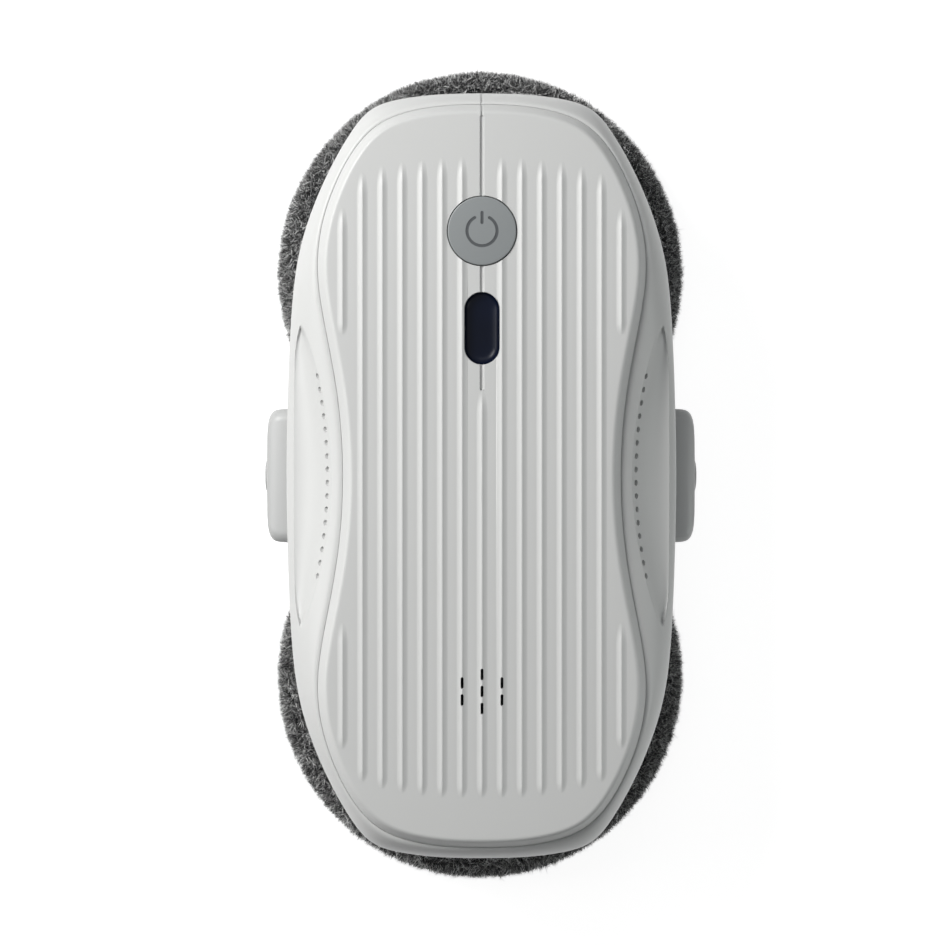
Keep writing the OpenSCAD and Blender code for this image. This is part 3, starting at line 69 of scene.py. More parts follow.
# Top cover
ridge_pitch, ridge_h, ridge_w, ridge_sink = 6.9, 0.76, 4.2, 0.35
ridge_end_share = [0.856, 0.856, 0.855, 0.85, 0.843, 0.832, 0.814]
short_ridge_share = [[0.385, 0.72], [-0.725, -0.392]]
ridge_fade_low, ridge_fade_high, ridge_past_low, ridge_past_high = 4.6, 8.5, 1.3, 0.6
button_y, button_r, button_gap, button_top = 84.9, 11.9, 0.3, 84.7
button_edge, button_dome, button_flange, stem_r, stem_low = 0.45, 0.36, 1.5, 2.4, 76.1
sign_r, sign_stroke_r, sign_bar, sign_bar_y, sign_d = 5.2, 0.52, 4.6, 4.58, 0.45
window_y, window_w, window_l = 51.2, 12.0, 25.0
window_sink, window_dish, window_flange = 0.25, 2.0, 3.0
ridge_after_window = 9.2
groove_half, groove_d = 0.5, 0.8
sound_y, slot_w, slot_l, slot_pitch = 74.5, 1.0, 4.0, 5.9

# Scoops and vents
scoop_l, scoop_fall = 104.0, 4.0
scoop_tip_share, scoop_open_share, scoop_rim_share = 0.7, 0.51, 0.86
pocket_d, pocket_tip_d = 0.25, 1.25
lip_w, lip_drop = 2.2, 0.75
vent_rows, vent_pitch, vent_dia, vent_bow_r, vent_tilt = 16, 4.64, 2.1, 175.0, 68.0
vent_x, vent_z, vent_d = half_w - 15.35, seam_z - 4.1, 0.35

# Bumpers, wheels and pads
bumper_half, bumper_h, bumper_x, bumper_z, cap_r = 23.9, 20.0, 76.6, 36.0, 5.5
bumper_gap, bumper_corner_r = 0.4, 9.4
flange_in, flange_out, flange_y, flange_z = 59.8, 61.8, 25.3, 11.2
post_y, post_r, post_in, flag_in, flag_half, flag_z, bumper_core = 14, 2.5, 45.6, 48.4, 0.6, 4, 60
cap_in, cap_h = 1.7, 0.91
wheel_y, wheel_r = 73.7, 60.0
pad_r, pad_hole_r, pile_h, rim_h = 73.0, 35.0, 10.5, 6.3
pile_l, pad_steps, lump_h = 2.5, 180, 0.25
rim_pile = {"tufts": 10600, "each": 6, "length": 3.5, "width": 0.27}
face_pile = {"tufts": 6000, "each": 7, "length": 1.5, "width": 0.4}

# Wells, bosses, mains socket and rope pocket of the lower housing
roof_z, roof_d, well_r, hub_r, rib_half = 25.0, 2.0, 43.0, 9.0, 1.5
hub_bore_r, hub_h, cup_bore_r, foot_gap, bore_stop_d = 4, 8, 23, 0.1, 6
pinion_at, pinion_well_r = (33.94, 39.76), 9.8
boss_r, boss_bore_r, screw_r = 4.2, 3.2, 1.7
socket_x, socket_r = -15, 4.7
rope_x, rope_half, rope_in_half = 15, 8.5, 7
rope_mouth_y, rope_back_y, rope_floor_y, past_end = 131.4, 120.2, 122.2, 140


def together(*shapes):
    """One shape, as points and faces, out of several: face numbers move up by the points before."""
    points, faces, count = [], [], 0
    for shape_points, shape_faces in shapes:
        points.append(shape_points)
        faces += [[corner + count for corner in face] for face in shape_faces]
        count += len(shape_points)
    return np.concatenate(points), faces


def lofted(loops, ring=False):
    """A closed skin over equal loops: quads between neighbours, and the first and last loop
    capped, or joined to each other when ring is true."""
    rows, columns = len(loops), len(loops[0])
    row, column = np.meshgrid(np.arange(rows if ring else rows - 1), np.arange(columns), indexing="ij")
    next_row, next_column = (row + 1) % rows, (column + 1) % columns
    corners = [row * columns + column, row * columns + next_column,
               next_row * columns + next_column, next_row * columns + column]
    faces = np.stack(corners, -1).reshape(-1, 4).tolist()
    if not ring:
        faces += [list(range(columns))[::-1], [(rows - 1) * columns + c for c in range(columns)]]
    return np.concatenate([np.asarray(loop, float) for loop in loops]), faces


def circle(radius, z, centre=(0, 0), count=96):
    """Points at equal angles on a circle of that radius, at height z."""
    angle = np.arange(count) * 2 * math.pi / count
    x, y = centre[0] + radius * np.cos(angle), centre[1] + radius * np.sin(angle)
    return np.stack([x, y, np.full(count, float(z))], -1)


def revolved(profile, centre=(0, 0), count=96, ring=False):
    """A profile of (radius, height) pairs turned round an upright axis through centre."""
    return lofted([circle(r, z, centre, count) for r, z in profile], ring)


def cylinder(radius, low, high, centre=(0, 0), count=32):
    """An upright cylinder between two heights."""
    return revolved([(0, low), (radius, low), (radius, high), (0, high)], centre, count)


def stadium(width, length, z, centre=(0, 0), count=16):
    """A slot outline: half a circle of the width at each end of a straight stretch along Y."""
    angle = np.linspace(0, math.pi, count)
    top = np.stack([np.cos(angle), np.sin(angle)], -1) * width / 2 + [0, (length - width) / 2]
    flat = np.concatenate([top, -top]) + centre
    return np.column_stack([flat, np.full(len(flat), float(z))])


def round_box(half_a, half_b, radius):
    """A rectangle of half sides a and b whose corners are quarter circles, as (a, b) pairs."""
    angle = np.linspace(0, math.pi / 2, 10)
    arc = np.stack([np.cos(angle), np.sin(angle)], -1) * radius
    turn = np.array([[0, -1], [1, 0]])
    corners = []
    for quadrant in np.array([[1, 1], [-1, 1], [-1, -1], [1, -1]]):
        corners.append(arc + quadrant * [half_a - radius, half_b - radius])
        arc = arc @ turn.T
    return np.concatenate(corners)


def block(low, high):
    """A box between two corners."""
    (x0, y0, z0), (x1, y1, z1) = low, high
    outline = np.array([[x0, y0], [x1, y0], [x1, y1], [x0, y1]], float)
    return lofted([np.column_stack([outline, np.full(4, float(z))]) for z in (z0, z1)])


def turned_to_x(shape, side, centre):
    """A shape made round the Z axis, laid along X towards side and moved to centre."""
    points, faces = shape
    laid = np.column_stack([points[:, 2] * side, points[:, 1], points[:, 0]]) + centre
    return laid, faces


def tidy_mesh(mesh):
    """Merges points that meet and turns every closed shell's faces outwards."""
    work = bmesh.new()
    work.from_mesh(mesh)
    bmesh.ops.remove_doubles(work, verts=work.verts, dist=2e-7)
    bmesh.ops.recalc_face_normals(work, faces=work.faces)
    work.to_mesh(mesh)
    work.free()


def placed(name, data):
    """An object with that mesh, lamp or camera, put in the scene."""
    made = bpy.data.objects.new(name, data)
    bpy.context.scene.collection.objects.link(made)
    return made


def new_object(name, shape):
    """An object at the origin with the shape's points in metres."""
    mesh = bpy.data.meshes.new(name)
    mesh.from_pydata((shape[0] * MM).tolist(), [], shape[1])
    tidy_mesh(mesh)
    return placed(name, mesh)


def cut(piece, shape, overlapping=False):
    """Takes the shape away from the piece for good. Cutters that overlap need a slower way."""
    cutter = new_object("cutter", shape)
    step = piece.modifiers.new("cut", "BOOLEAN")
    step.operation, step.solver, step.object = "DIFFERENCE", "EXACT", cutter
    step.use_self = overlapping
    view = bpy.context.evaluated_depsgraph_get()
    result = bpy.data.meshes.new_from_object(piece.evaluated_get(view))
    piece.modifiers.clear()
    old = piece.data
    piece.data = result
    bpy.data.meshes.remove(old)
    bpy.data.objects.remove(cutter)


def dress(piece, body, slot, replaced=(), sharp=32):
    """Shades the piece smooth but for edges sharper than the angle, gives it the finish of its
    slot and makes it ride on its body."""
    piece.data.materials.clear()
    piece.data.materials.append(finishes[slot])
    piece.data.shade_smooth()
    piece.data.set_sharp_from_angle(angle=math.radians(sharp))
    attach(piece, body)
    if replaced:
        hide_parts(*replaced)


class Wire:
    """An output socket of a node. Arithmetic with numbers or other wires adds Math nodes."""

    def __init__(self, tree, socket):
        self.tree, self.socket = tree, socket

    def maths(self, operation, first, second):
        node = self.tree.nodes.new("ShaderNodeMath")
        node.operation = operation
        feed(self.tree, node.inputs[0], first)
        feed(self.tree, node.inputs[1], second)
        return Wire(self.tree, node.outputs[0])

    def __add__(self, other):
        return self.maths("ADD", self, other)

    def __radd__(self, other):
        return self.maths("ADD", other, self)

    def __sub__(self, other):
        return self.maths("SUBTRACT", self, other)

    def __rsub__(self, other):
        return self.maths("SUBTRACT", other, self)

    def __mul__(self, other):
        return self.maths("MULTIPLY", self, other)

    def __rmul__(self, other):
        return self.maths("MULTIPLY", other, self)


def feed(tree, socket, value):
    """Links a wire to a socket, or sets the socket to a plain value."""
    if isinstance(value, Wire):
        tree.links.new(value.socket, socket)
    else:
        socket.default_value = value


class Finish:
    """A material with one Principled shader and the nodes that feed it."""

    def __init__(self, name, **constants):
        self.material = bpy.data.materials.new(name)
        self.material.use_nodes = True
        self.tree = self.material.node_tree
        self.shader = self.tree.nodes["Principled BSDF"]
        for socket, value in constants.items():
            self.shader.inputs[socket.replace("_", " ").title().replace("Ior", "IOR")].default_value = value

    def node(self, kind, settings=None, inputs=None, output=0):
        """Adds a node, sets its settings first and then the values or wires of its sockets."""
        made = self.tree.nodes.new(kind)
        for key, value in (settings or {}).items():
            if key == "stops":
                ramp = made.color_ramp.elements
                while len(ramp) < len(value):
                    ramp.new(0.5)
                for element, (place, colour) in zip(ramp, value):
                    element.position, element.color = place, colour
            else:
                setattr(made, key, value)
        for key, value in (inputs or {}).items():
            feed(self.tree, made.inputs[key], value)
        return Wire(self.tree, made.outputs[output])

    def place(self):
        """Object coordinates, in metres from the origin."""
        return self.node("ShaderNodeTexCoord", output="Object")

    def noise(self, size, detail=2.0, place=None):
        """Soft noise between 0 and 1 whose lumps are about size millimetres."""
        return self.node("ShaderNodeTexNoise", inputs={
            "Vector": place or self.place(), "Scale": 1 / (size * MM), "Detail": detail})

    def stretched(self, scale):
        """Object coordinates multiplied by a vector."""
        return self.node("ShaderNodeMapping", inputs={"Vector": self.place(), "Scale": scale})

    def mix(self, share, first, second):
        """A colour between two, by a share from 0 to 1."""
        return self.node("ShaderNodeMix", {"data_type": "RGBA"},
                         {0: share, 6: first, 7: second}, output=2)

    def ramp(self, value, stops):
        """A colour looked up on a ramp of (place, colour) stops."""
        return self.node("ShaderNodeValToRGB", {"stops": stops}, {"Fac": value})

    def bump(self, height, strength, distance):
        """A normal that leans as the height, in units of distance millimetres, rises."""
        return self.node("ShaderNodeBump", inputs={
            "Height": height, "Strength": strength, "Distance": distance * MM})

    def set(self, socket, value):
        """Feeds one of the shader's sockets."""
        feed(self.tree, self.shader.inputs[socket], value)


def grey(level):
    """A colour of one level."""
    return (level, level, level, 1.0)


def darker(colour, share):
    """The colour times a share."""
    return tuple(c * share for c in colour[:3]) + (1.0,)


def moulded_plastic(name, colour, roughness):
    """Injection-moulded plastic: a very fine spark grain, a broad drift of tone and roughness."""
    finish = Finish(name)
    drift, flow = finish.noise(60, 1), finish.noise(9, 3)
    finish.set("Base Color", finish.mix(drift * 0.7 + flow * 0.3, darker(colour, 0.95), colour))
    finish.set("Roughness", roughness + (finish.noise(2.5, 2) - 0.5) * 0.08)
    finish.set("Normal", finish.bump(finish.noise(0.35, 2), 0.12, 0.02))
    return finish.material


def window_plastic():
    """Polished infrared-passing plastic: almost black, with a deep blue cast."""
    finish = Finish("window_plastic", roughness=0.3, specular_ior_level=0.12)
    deep, cast = (0.001, 0.002, 0.006, 1), (0.002, 0.005, 0.018, 1)
    finish.set("Base Color", finish.mix(finish.noise(20, 1), deep, cast))
    finish.set("Normal", finish.bump(finish.noise(8, 1), 0.04, 0.02))
    return finish.material


def pile_fabric():
    """Microfibre: each strand's own tone, from light grey to charcoal, with painted shade that darkens the
    strands towards their roots and the core under them.
    """
    finish = Finish("pile_fabric", roughness=0.9, sheen_weight=0.25, sheen_roughness=0.5)
    tone = finish.node("ShaderNodeAttribute", {"attribute_name": "tone"}, output="Fac")
    level = tone * (0.75 + finish.noise(5, 2) * 0.5)
    finish.set("Base Color", finish.ramp(level, [
        (0.0, grey(0.004)), (0.3, grey(0.02)), (0.53, grey(0.25)), (0.72, grey(0.82)),
        (1.0, grey(0.97))]))
    return finish.material


def woven_fabric(name, colour):
    """A knitted backing: rows of small loops, as two crossed waves."""
    finish = Finish(name, roughness=0.95)
    rows, columns = (
        finish.node("ShaderNodeTexWave", {"bands_direction": axis}, {
            "Vector": finish.place(), "Scale": 420.0, "Distortion": 1.5}, output="Fac")
        for axis in ("X", "Y"))
    loops = rows * columns
    finish.set("Base Color", finish.mix(loops, darker(colour, 0.5), colour))
    finish.set("Normal", finish.bump(loops, 0.5, 0.15))
    return finish.material


def soft_rubber():
    """Black rubber with a dull, slightly dusty skin."""
    finish = Finish("rubber")
    dust = finish.noise(3, 4)
    finish.set("Base Color", finish.mix(dust, grey(0.012), (0.035, 0.034, 0.033, 1)))
    finish.set("Roughness", 0.6 + dust * 0.25)
    finish.set("Normal", finish.bump(finish.noise(0.5, 2), 0.2, 0.04))
    return finish.material


def turned_metal(name, colour, roughness):
    """Metal with fine marks from turning, as noise stretched across the marks."""
    finish = Finish(name, metallic=1.0)
    marks = finish.noise(1.0, 3, finish.stretched((1, 1, 14)))
    finish.set("Base Color", finish.mix(marks, darker(colour, 0.85), colour))
    finish.set("Roughness", roughness + marks * 0.15)
    finish.set("Normal", finish.bump(marks, 0.1, 0.02))
    return finish.material


def circuit_board():
    """Green board: solder mask over faint copper tracks."""
    finish = Finish("circuit_board", coat_weight=0.3, coat_roughness=0.2)
    tracks = finish.node("ShaderNodeTexVoronoi", {"feature": "DISTANCE_TO_EDGE"}, {
        "Vector": finish.place(), "Scale": 260.0}, output="Distance")
    lines = finish.ramp(tracks * 6, [(0.0, (0.03, 0.22, 0.08, 1)), (0.5, (0.01, 0.09, 0.035, 1))])
    finish.set("Base Color", lines)
    finish.set("Roughness", 0.35 + finish.noise(2, 2) * 0.2)
    finish.set("Normal", finish.bump(tracks, 0.2, 0.04))
    return finish.material


def cell_wrap():
    """Blue shrink sleeve with faint wrinkles along the cell."""
    finish = Finish("cell_wrap", coat_weight=0.4, coat_roughness=0.15)
    folds = finish.noise(3, 3, finish.stretched((0.2, 1, 1)))
    finish.set("Base Color", finish.mix(folds, (0.03, 0.1, 0.3, 1), (0.05, 0.16, 0.42, 1)))
    finish.set("Roughness", 0.3 + folds * 0.2)
    finish.set("Normal", finish.bump(folds, 0.25, 0.1))
    return finish.material


finishes = {
    "white_plastic": moulded_plastic("white_plastic", (0.60, 0.605, 0.60, 1), 0.42),
    "grey_plastic": moulded_plastic("grey_plastic", (0.235, 0.25, 0.255, 1), 0.45),
    "light_grey_plastic": moulded_plastic("light_grey_plastic", (0.45, 0.455, 0.455, 1), 0.42),
    "inner_plastic": moulded_plastic("inner_plastic", (0.06, 0.065, 0.07, 1), 0.55),
    "pale_plastic": moulded_plastic("pale_plastic", (0.78, 0.76, 0.68, 1), 0.4),
    "black_plastic": moulded_plastic("black_plastic", (0.02, 0.02, 0.022, 1), 0.5),
    "window_plastic": window_plastic(),
    "circuit_board": circuit_board(),
    "pile_fabric": pile_fabric(),
    "loop_fabric": woven_fabric("loop_fabric", grey(0.3)),
    "rubber": soft_rubber(),
    "steel": turned_metal("steel", grey(0.6), 0.28),
    "motor_case": turned_metal("motor_case", grey(0.55), 0.4),
    "cell_wrap": cell_wrap(),
}


def dress_solids():
    """Gives every carried solid the finish of the slot that the record names for it."""
    for part in frame["record"]["subparts"]:
        mesh = frame["nodes"][part["node"]].data
        mesh.materials.clear()
        mesh.materials.append(finishes[part["material_slot"]])


def closed_curve(curve, u):
    """A closed uniform cubic B-spline over 40 control points, which are the quarter's shares
    mirrored in both axes. u runs from 0 to 1, from the +Y end clockwise seen from above."""
    x_share, y_share, width, length = curve
    number = np.arange(40)
    quarter = number // 10
    share = np.where(quarter % 2 == 0, number % 10, 10 - number % 10)
    x = width * np.array(x_share, float)[share] * np.where(quarter < 2, 1, -1)
    y = length * np.array(y_share, float)[share] * np.where((quarter == 0) | (quarter == 3), 1, -1)
    control = np.stack([x, y], -1)
    along = np.mod(u, 1) * 40
    passed = np.floor(along).astype(int)
    t = (along - passed)[:, None]
    before, here, after, last = (control[(passed + step) % 40] for step in (-1, 0, 1, 2))
    return ((1 - t) ** 3 * before + (3 * t**3 - 6 * t**2 + 4) * here
            + (-3 * t**3 + 3 * t**2 + 3 * t + 1) * after + t**3 * last) / 6


def beside(chord):
    """Unit vectors a quarter turn to the left of the chords."""
    normal = np.stack([-chord[:, 1], chord[:, 0]], -1)
    return normal / np.linalg.norm(normal, axis=1, keepdims=True)


def outward(curve, u):
    """Unit normals of the curve, away from its middle: the chord over a small step, turned."""
    step = 0.002
    return beside(closed_curve(curve, u + step) - closed_curve(curve, u - step))


around = 720
u_all = np.arange(around) / around
outline_curve = (outline_x_share, outline_y_share, half_w, half_l)
seam_curve = (seam_x_share, seam_y_share, seam_half_w, seam_half_l)
outline_points, outline_normals = closed_curve(outline_curve, u_all), outward(outline_curve, u_all)
seam_points, seam_normals = closed_curve(seam_curve, u_all), outward(seam_curve, u_all)


def outline_loop(offset, z):
    """The body's widest line moved out by offset, at height z."""
    return np.column_stack([outline_points + offset * outline_normals, np.broadcast_to(z, around)])


def seam_loop(offset, z):
    """The seam of the cover moved out by offset, at height z."""
    return np.column_stack([seam_points + offset * seam_normals, np.broadcast_to(z, around)])


def tuck_at(z):
    """Draw-in of the wall below the widest line: a power of the share of the way down."""
    return tuck * max(0.0, (belt_z - z) / (belt_z - floor_z)) ** 2.2


def shoulder_z(s, width):
    """Height of the shoulder from the seam (0) to the widest line (1), over its local width:
    a straight fall mixed with a quarter circle. The straight share grows with the width."""
    line = straight_share * np.minimum(1, width / shoulder_even_w)
    quarter_circle = 1 - np.sqrt(np.maximum(0, 1 - s * s))
    return seam_z - (seam_z - belt_z) * (line * s + (1 - line) * quarter_circle)


def scoop_depth(s, y, width):
    """Depth of the side scoop below the shoulder. Its floor leaves the outer edge at a gentle
    fall and curves up, by the square of the distance, to the shoulder at the inner edge; the
    two edges close in a round tip where |y| is half the scoop's length. Towards the tips a
    half ellipse between the edges, by the fourth power of the way out, makes a steep-sided pocket."""
    way_out = np.minimum(1, np.abs(y) / (scoop_l / 2))
    open_share = np.maximum(1 - way_out * way_out, 1e-6)
    inner = scoop_tip_share - scoop_open_share * open_share**0.55
    outer = scoop_rim_share - (scoop_rim_share - scoop_tip_share) * way_out**10
    reach, edge_z, from_edge = outer - inner, shoulder_z(outer, width), outer - s
    climb = shoulder_z(inner, width) - edge_z - scoop_fall * reach
    depth = shoulder_z(s, width) - edge_z - scoop_fall * from_edge - climb * (from_edge / reach) ** 2
    inside = (way_out < 1) & (s > inner) & (s < outer)
    pocket = np.sqrt(np.maximum(0, 4 * (s - inner) * from_edge)) / reach
    return np.where(inside, np.maximum(depth, 0) + (pocket_d + pocket_tip_d * way_out**4) * pocket, 0)


def shoulder_loop(s, inward=0.0, down=0.0):
    """The shoulder at share s of the way out, moved inward and down for the inner face. Its
    lip rolls down to the seam: the drop is the square of the distance left in the lip."""
    start = seam_points + seam_gap * seam_normals
    width = np.linalg.norm(outline_points - start, axis=1)
    on_line = start + s * (outline_points - start)
    flat = on_line - inward * outline_normals
    roll = 0.0 if inward else lip_drop * np.clip(1 - s * width / lip_w, 0, 1) ** 2
    z = shoulder_z(s, width) - scoop_depth(s, on_line[:, 1], width) - down - roll
    return np.column_stack([flat, z])


def plate_top(x):
    """The cover's plate: a shallow parabola across its width."""
    return plate_z + crown * (1 - (x / seam_half_w) ** 2)


def bevel_share(q):
    """Rise of the bevel: a small lip, a straight face and a cubic run-out into the plate."""
    lip_rise, face_slope, run_out_rise = 0.08, 1.643, 0.3
    lip = lip_rise * (1 - (1 - np.clip(q / bevel_lip_share, 0, 1)) ** 2)
    face = face_slope * np.clip(q - bevel_lip_share, 0, bevel_face_share - bevel_lip_share)
    left = 1 - np.clip((q - bevel_face_share) / (1 - bevel_face_share), 0, 1)
    return lip + face + run_out_rise * (1 - left**3)


def bevel_loop(q):
    """The bevel at share q of its width, from just inside the seam to the plate."""
    loop = seam_loop(-seam_gap - q * bevel_w, 0)
    foot = seam_z - bevel_drop
    loop[:, 2] = foot + (plate_top(loop[:, 0]) - foot) * bevel_share(q)
    return loop


def plate_loop(share):
    """The plate's edge shrunk to a share towards the middle, on the plate's parabola."""
    loop = seam_loop(-seam_gap - bevel_w, 0) * share
    loop[:, 2] = plate_top(loop[:, 0])
    return loop


def groove_over_the_end():
    """A thin upright blade whose lower edge follows the bevel and the shoulder at +Y, so that
    it cuts the groove there to an even depth."""
    q = np.linspace(1, 0, 14)
    bevel = np.stack([seam_half_l - seam_gap - q * bevel_w,
                      seam_z + (plate_z + crown - seam_z) * bevel_share(q)], -1)
    s = np.linspace(0.02, 0.9, 12)
    shoulder = np.stack([seam_half_l + seam_gap + s * (half_l - seam_half_l - seam_gap),
                         shoulder_z(s, half_l - seam_half_l)], -1)
    run = np.concatenate([bevel, shoulder]) - [groove_d * 0.45, groove_d * 0.6]
    high = np.array([[half_l + 3, belt_z - 2], [half_l + 3, plate_z + 4], [run[0, 0], plate_z + 4]])
    side = np.concatenate([run, high])
    loops = [np.column_stack([np.full(len(side), x), side]) for x in (-groove_half, groove_half)]
    return lofted(loops)


def groove_cutter(y0, y1):
    """A slot with a narrow floor and edges eased outwards, on the cover's middle line."""
    top, middle, length = plate_z + crown, (y0 + y1) / 2, y1 - y0
    return lofted([stadium(2 * groove_half * w, length, z, (0, middle), 6) for w, z in (
        (0.8, top - groove_d), (1.0, top - 0.3), (1.75, top + 0.03), (1.75, top + 2))])


def sound_slots():
    """Seven slots through the cover with eased edges: three on the middle ridge, two beside."""
    top, shapes = plate_z + crown, []
    for column in (-1, 0, 1):
        for k in ((-1, 0, 1) if column == 0 else (-0.5, 0.5)):
            centre = (column * ridge_pitch, -sound_y + k * slot_pitch)
            shapes.append(lofted([stadium(slot_w + grow, slot_l + grow, z, centre, 6) for grow, z in (
                (0, plate_under - 2), (0, top + 0.45), (0.5, top + 0.95), (0.5, top + 3))]))
    return together(*shapes)


def cover_cutters():
    """What is cut out of the cover: button hole, window, groove and sound slots."""
    hole = button_r + button_gap - 0.05
    top = plate_z + crown
    button = revolved([(0, plate_under - 3), (hole, plate_under - 3), (hole, top - 0.3),
                       (hole + 0.1, top + 0.02), (hole + 0.1, top + 3), (0, top + 3)],
                      (0, button_y), 160)
    window = lofted([stadium(window_w + grow, window_l + grow, z, (0, window_y), 40) for grow, z in (
        (0.1, plate_under - 3), (0.1, top - 0.2), (0.4, top + 0.02), (0.4, top + 3))])
    end = window_y - window_l / 2
    return together(
        button, window, sound_slots(),
        groove_cutter(button_y + hole - 0.5, seam_half_l - bevel_w),
        groove_cutter(window_y + window_l / 2 - 1, button_y - hole + 0.5),
        groove_cutter(end - ridge_after_window, end + 1))


def ridge(x, y0, y1):
    """A ridge whose flanks are hollow: its height falls as (1 - distance)^1.7 from a narrow
    crest, and its ends sink and narrow: over a short fade at -Y, over a long one at +Y."""
    across = np.linspace(-1, 1, 19)
    crest, flank_end, buried = 0.0035, 1.0018, 0.012
    near_share = np.array([0, 0.06, 0.14, 0.24, 0.35, 0.47, 0.6, 0.74, 0.88, 1.0])
    y0, y1 = y0 - ridge_past_low, y1 + ridge_past_high
    y_rows = np.concatenate([y0 + near_share * ridge_fade_low, (y1 - near_share * ridge_fade_high)[::-1]])
    loops = []
    for y in y_rows:
        grown = min(1.0, (y - y0) / ridge_fade_low, (y1 - y) / ridge_fade_high)
        grown = grown * grown * (3 - 2 * grown)
        spread = across * ridge_w / 2 * (0.75 + 0.25 * grown)
        distance = np.sqrt(across**2 + crest)
        height = ridge_h * grown * np.clip(1 - distance / flank_end, 0, 1) ** 1.7 - buried
        top = np.column_stack([x + spread, np.full(len(across), y), plate_top(x + spread) + height])
        under = np.array([[x + spread[-1], y, plate_top(x) - ridge_sink],
                          [x + spread[0], y, plate_top(x) - ridge_sink]])
        loops.append(np.concatenate([top, under]))
    return lofted(loops)


def all_ridges():
    """Thirteen long ridges at even spacing, and two short ones beyond them on each side."""
    shapes = []
    for k in range(-6, 7):
        end = ridge_end_share[abs(k)] * seam_half_l
        stop = window_y - window_l / 2 - ridge_after_window if k == 0 else end
        shapes.append(ridge(k * ridge_pitch, -end, stop))
    for side in (-1, 1):
        for low, high in short_ridge_share:
            shapes.append(ridge(side * 7 * ridge_pitch, low * seam_half_l, high * seam_half_l))
    return together(*shapes)


def make_cover():
    """The cover's plate with its bevel and skirt, then its ridges, both cut alike."""
    q_rows = np.concatenate([np.linspace(0, bevel_lip_share, 4), np.linspace(0.1, bevel_face_share, 7),
                             np.linspace(0.48, 1, 11)])
    skirt = [seam_loop(-seam_gap - inward, z) for inward, z in (
        (skirt_flare, plate_under), (skirt_in, plate_under - skirt_drop),
        (skirt_in, ledge_z), (0, ledge_z))]
    plate = [plate_loop(share) for share in np.linspace(1, 0.04, 20)[1:]]
    cover = new_object("cover", lofted(skirt + [bevel_loop(q) for q in q_rows] + plate))
    cut(cover, cover_cutters(), overlapping=True)
    cut(cover, groove_over_the_end())
    dress(cover, "housing", "white_plastic", ["top_cover"])
    ridges = new_object("cover_ridges", all_ridges())
    cut(ridges, cover_cutters(), overlapping=True)
    dress(ridges, "housing", "white_plastic", sharp=50)


def vent_cutters():
    """A row of cutters for round dimples along each scoop's wall, on a shallow bow."""
    shapes = []
    angle = np.arange(14) * 2 * math.pi / 14
    for side in (-1, 1):
        tilt = math.radians(vent_tilt)
        along = np.array([side * math.sin(tilt), 0, math.cos(tilt)])
        over = np.array([math.cos(tilt), 0, -side * math.sin(tilt)])
        ring = (np.cos(angle)[:, None] * over + np.sin(angle)[:, None] * [0, 1, 0]) * vent_dia / 2
        for k in range(vent_rows):
            y = (k - (vent_rows - 1) / 2) * vent_pitch
            bow = y * y / (2 * vent_bow_r)
            centre = np.array([side * (vent_x + bow), y, vent_z])
            shapes.append(lofted([ring + centre + along * step for step in (-vent_d, 6)]))
    return together(*shapes)


def make_shell():
    """The shoulder with its two scoops, from the ledge under the cover down to the joint."""
    s_rows = np.concatenate([np.linspace(0.015, 0.25, 15), np.linspace(0.265, 0.98, 56), [0.99, 1]])
    z_rows = np.linspace(belt_z, parting_z + joint_straight, 6)[1:]
    set_in, joint_tuck = wall * 0.8, tuck_at(parting_z)
    loops = [seam_loop(-ledge_w, ledge_z), seam_loop(seam_gap, ledge_z), shoulder_loop(0)]
    loops += [shoulder_loop(s) for s in s_rows]
    loops += [outline_loop(-tuck_at(z), z) for z in z_rows]
    loops += [outline_loop(-inward, z) for inward, z in (
        (joint_tuck, parting_z + joint_rise), (joint_tuck + joint_chamfer, parting_z + joint_gap),
        (wall + joint_tuck, parting_z + joint_gap), (wall, parting_z + inner_straight))]
    loops += [shoulder_loop(s, set_in, set_in) for s in np.linspace(0.95, 0.12, 22)]
    loops += [seam_loop(-ledge_w, ledge_z - ledge_d)]
    shell = new_object("shell", lofted(loops, ring=True))
    cut(shell, vent_cutters())
    cut(shell, groove_over_the_end())
    dress(shell, "housing", "white_plastic", ["upper_shell"])


def boss_places():
    """The four screw bosses in the corners and the four beside the ends, as (x, y)."""
    near_corner, near_end = (half_w - 9.7, 33), (33, half_l - 15)
    return [(sx * x, sy * y) for x, y in (near_corner, near_end) for sx in (-1, 1) for sy in (-1, 1)]


def case_openings():
    """Cutters for the bumpers, the mains socket and the rope's pocket."""
    openings = []
    ring = round_box(bumper_half + bumper_gap, bumper_h / 2 + bumper_gap, bumper_corner_r)
    for side in (-1, 1):
        openings.append(lofted([np.column_stack([
            np.full(len(ring), side * x), ring[:, 0], ring[:, 1] + bumper_z]) for x in (50, 90)]))
    points, faces = cylinder(socket_r, 100, past_end, count=48)
    openings.append((points[:, [0, 2, 1]] + [socket_x, 0, bumper_z], faces))
    openings.append(block((rope_x - rope_in_half, rope_floor_y + 0.5, bumper_z - rope_in_half),
                          (rope_x + rope_in_half, past_end, bumper_z + rope_in_half)))
    return together(*openings)


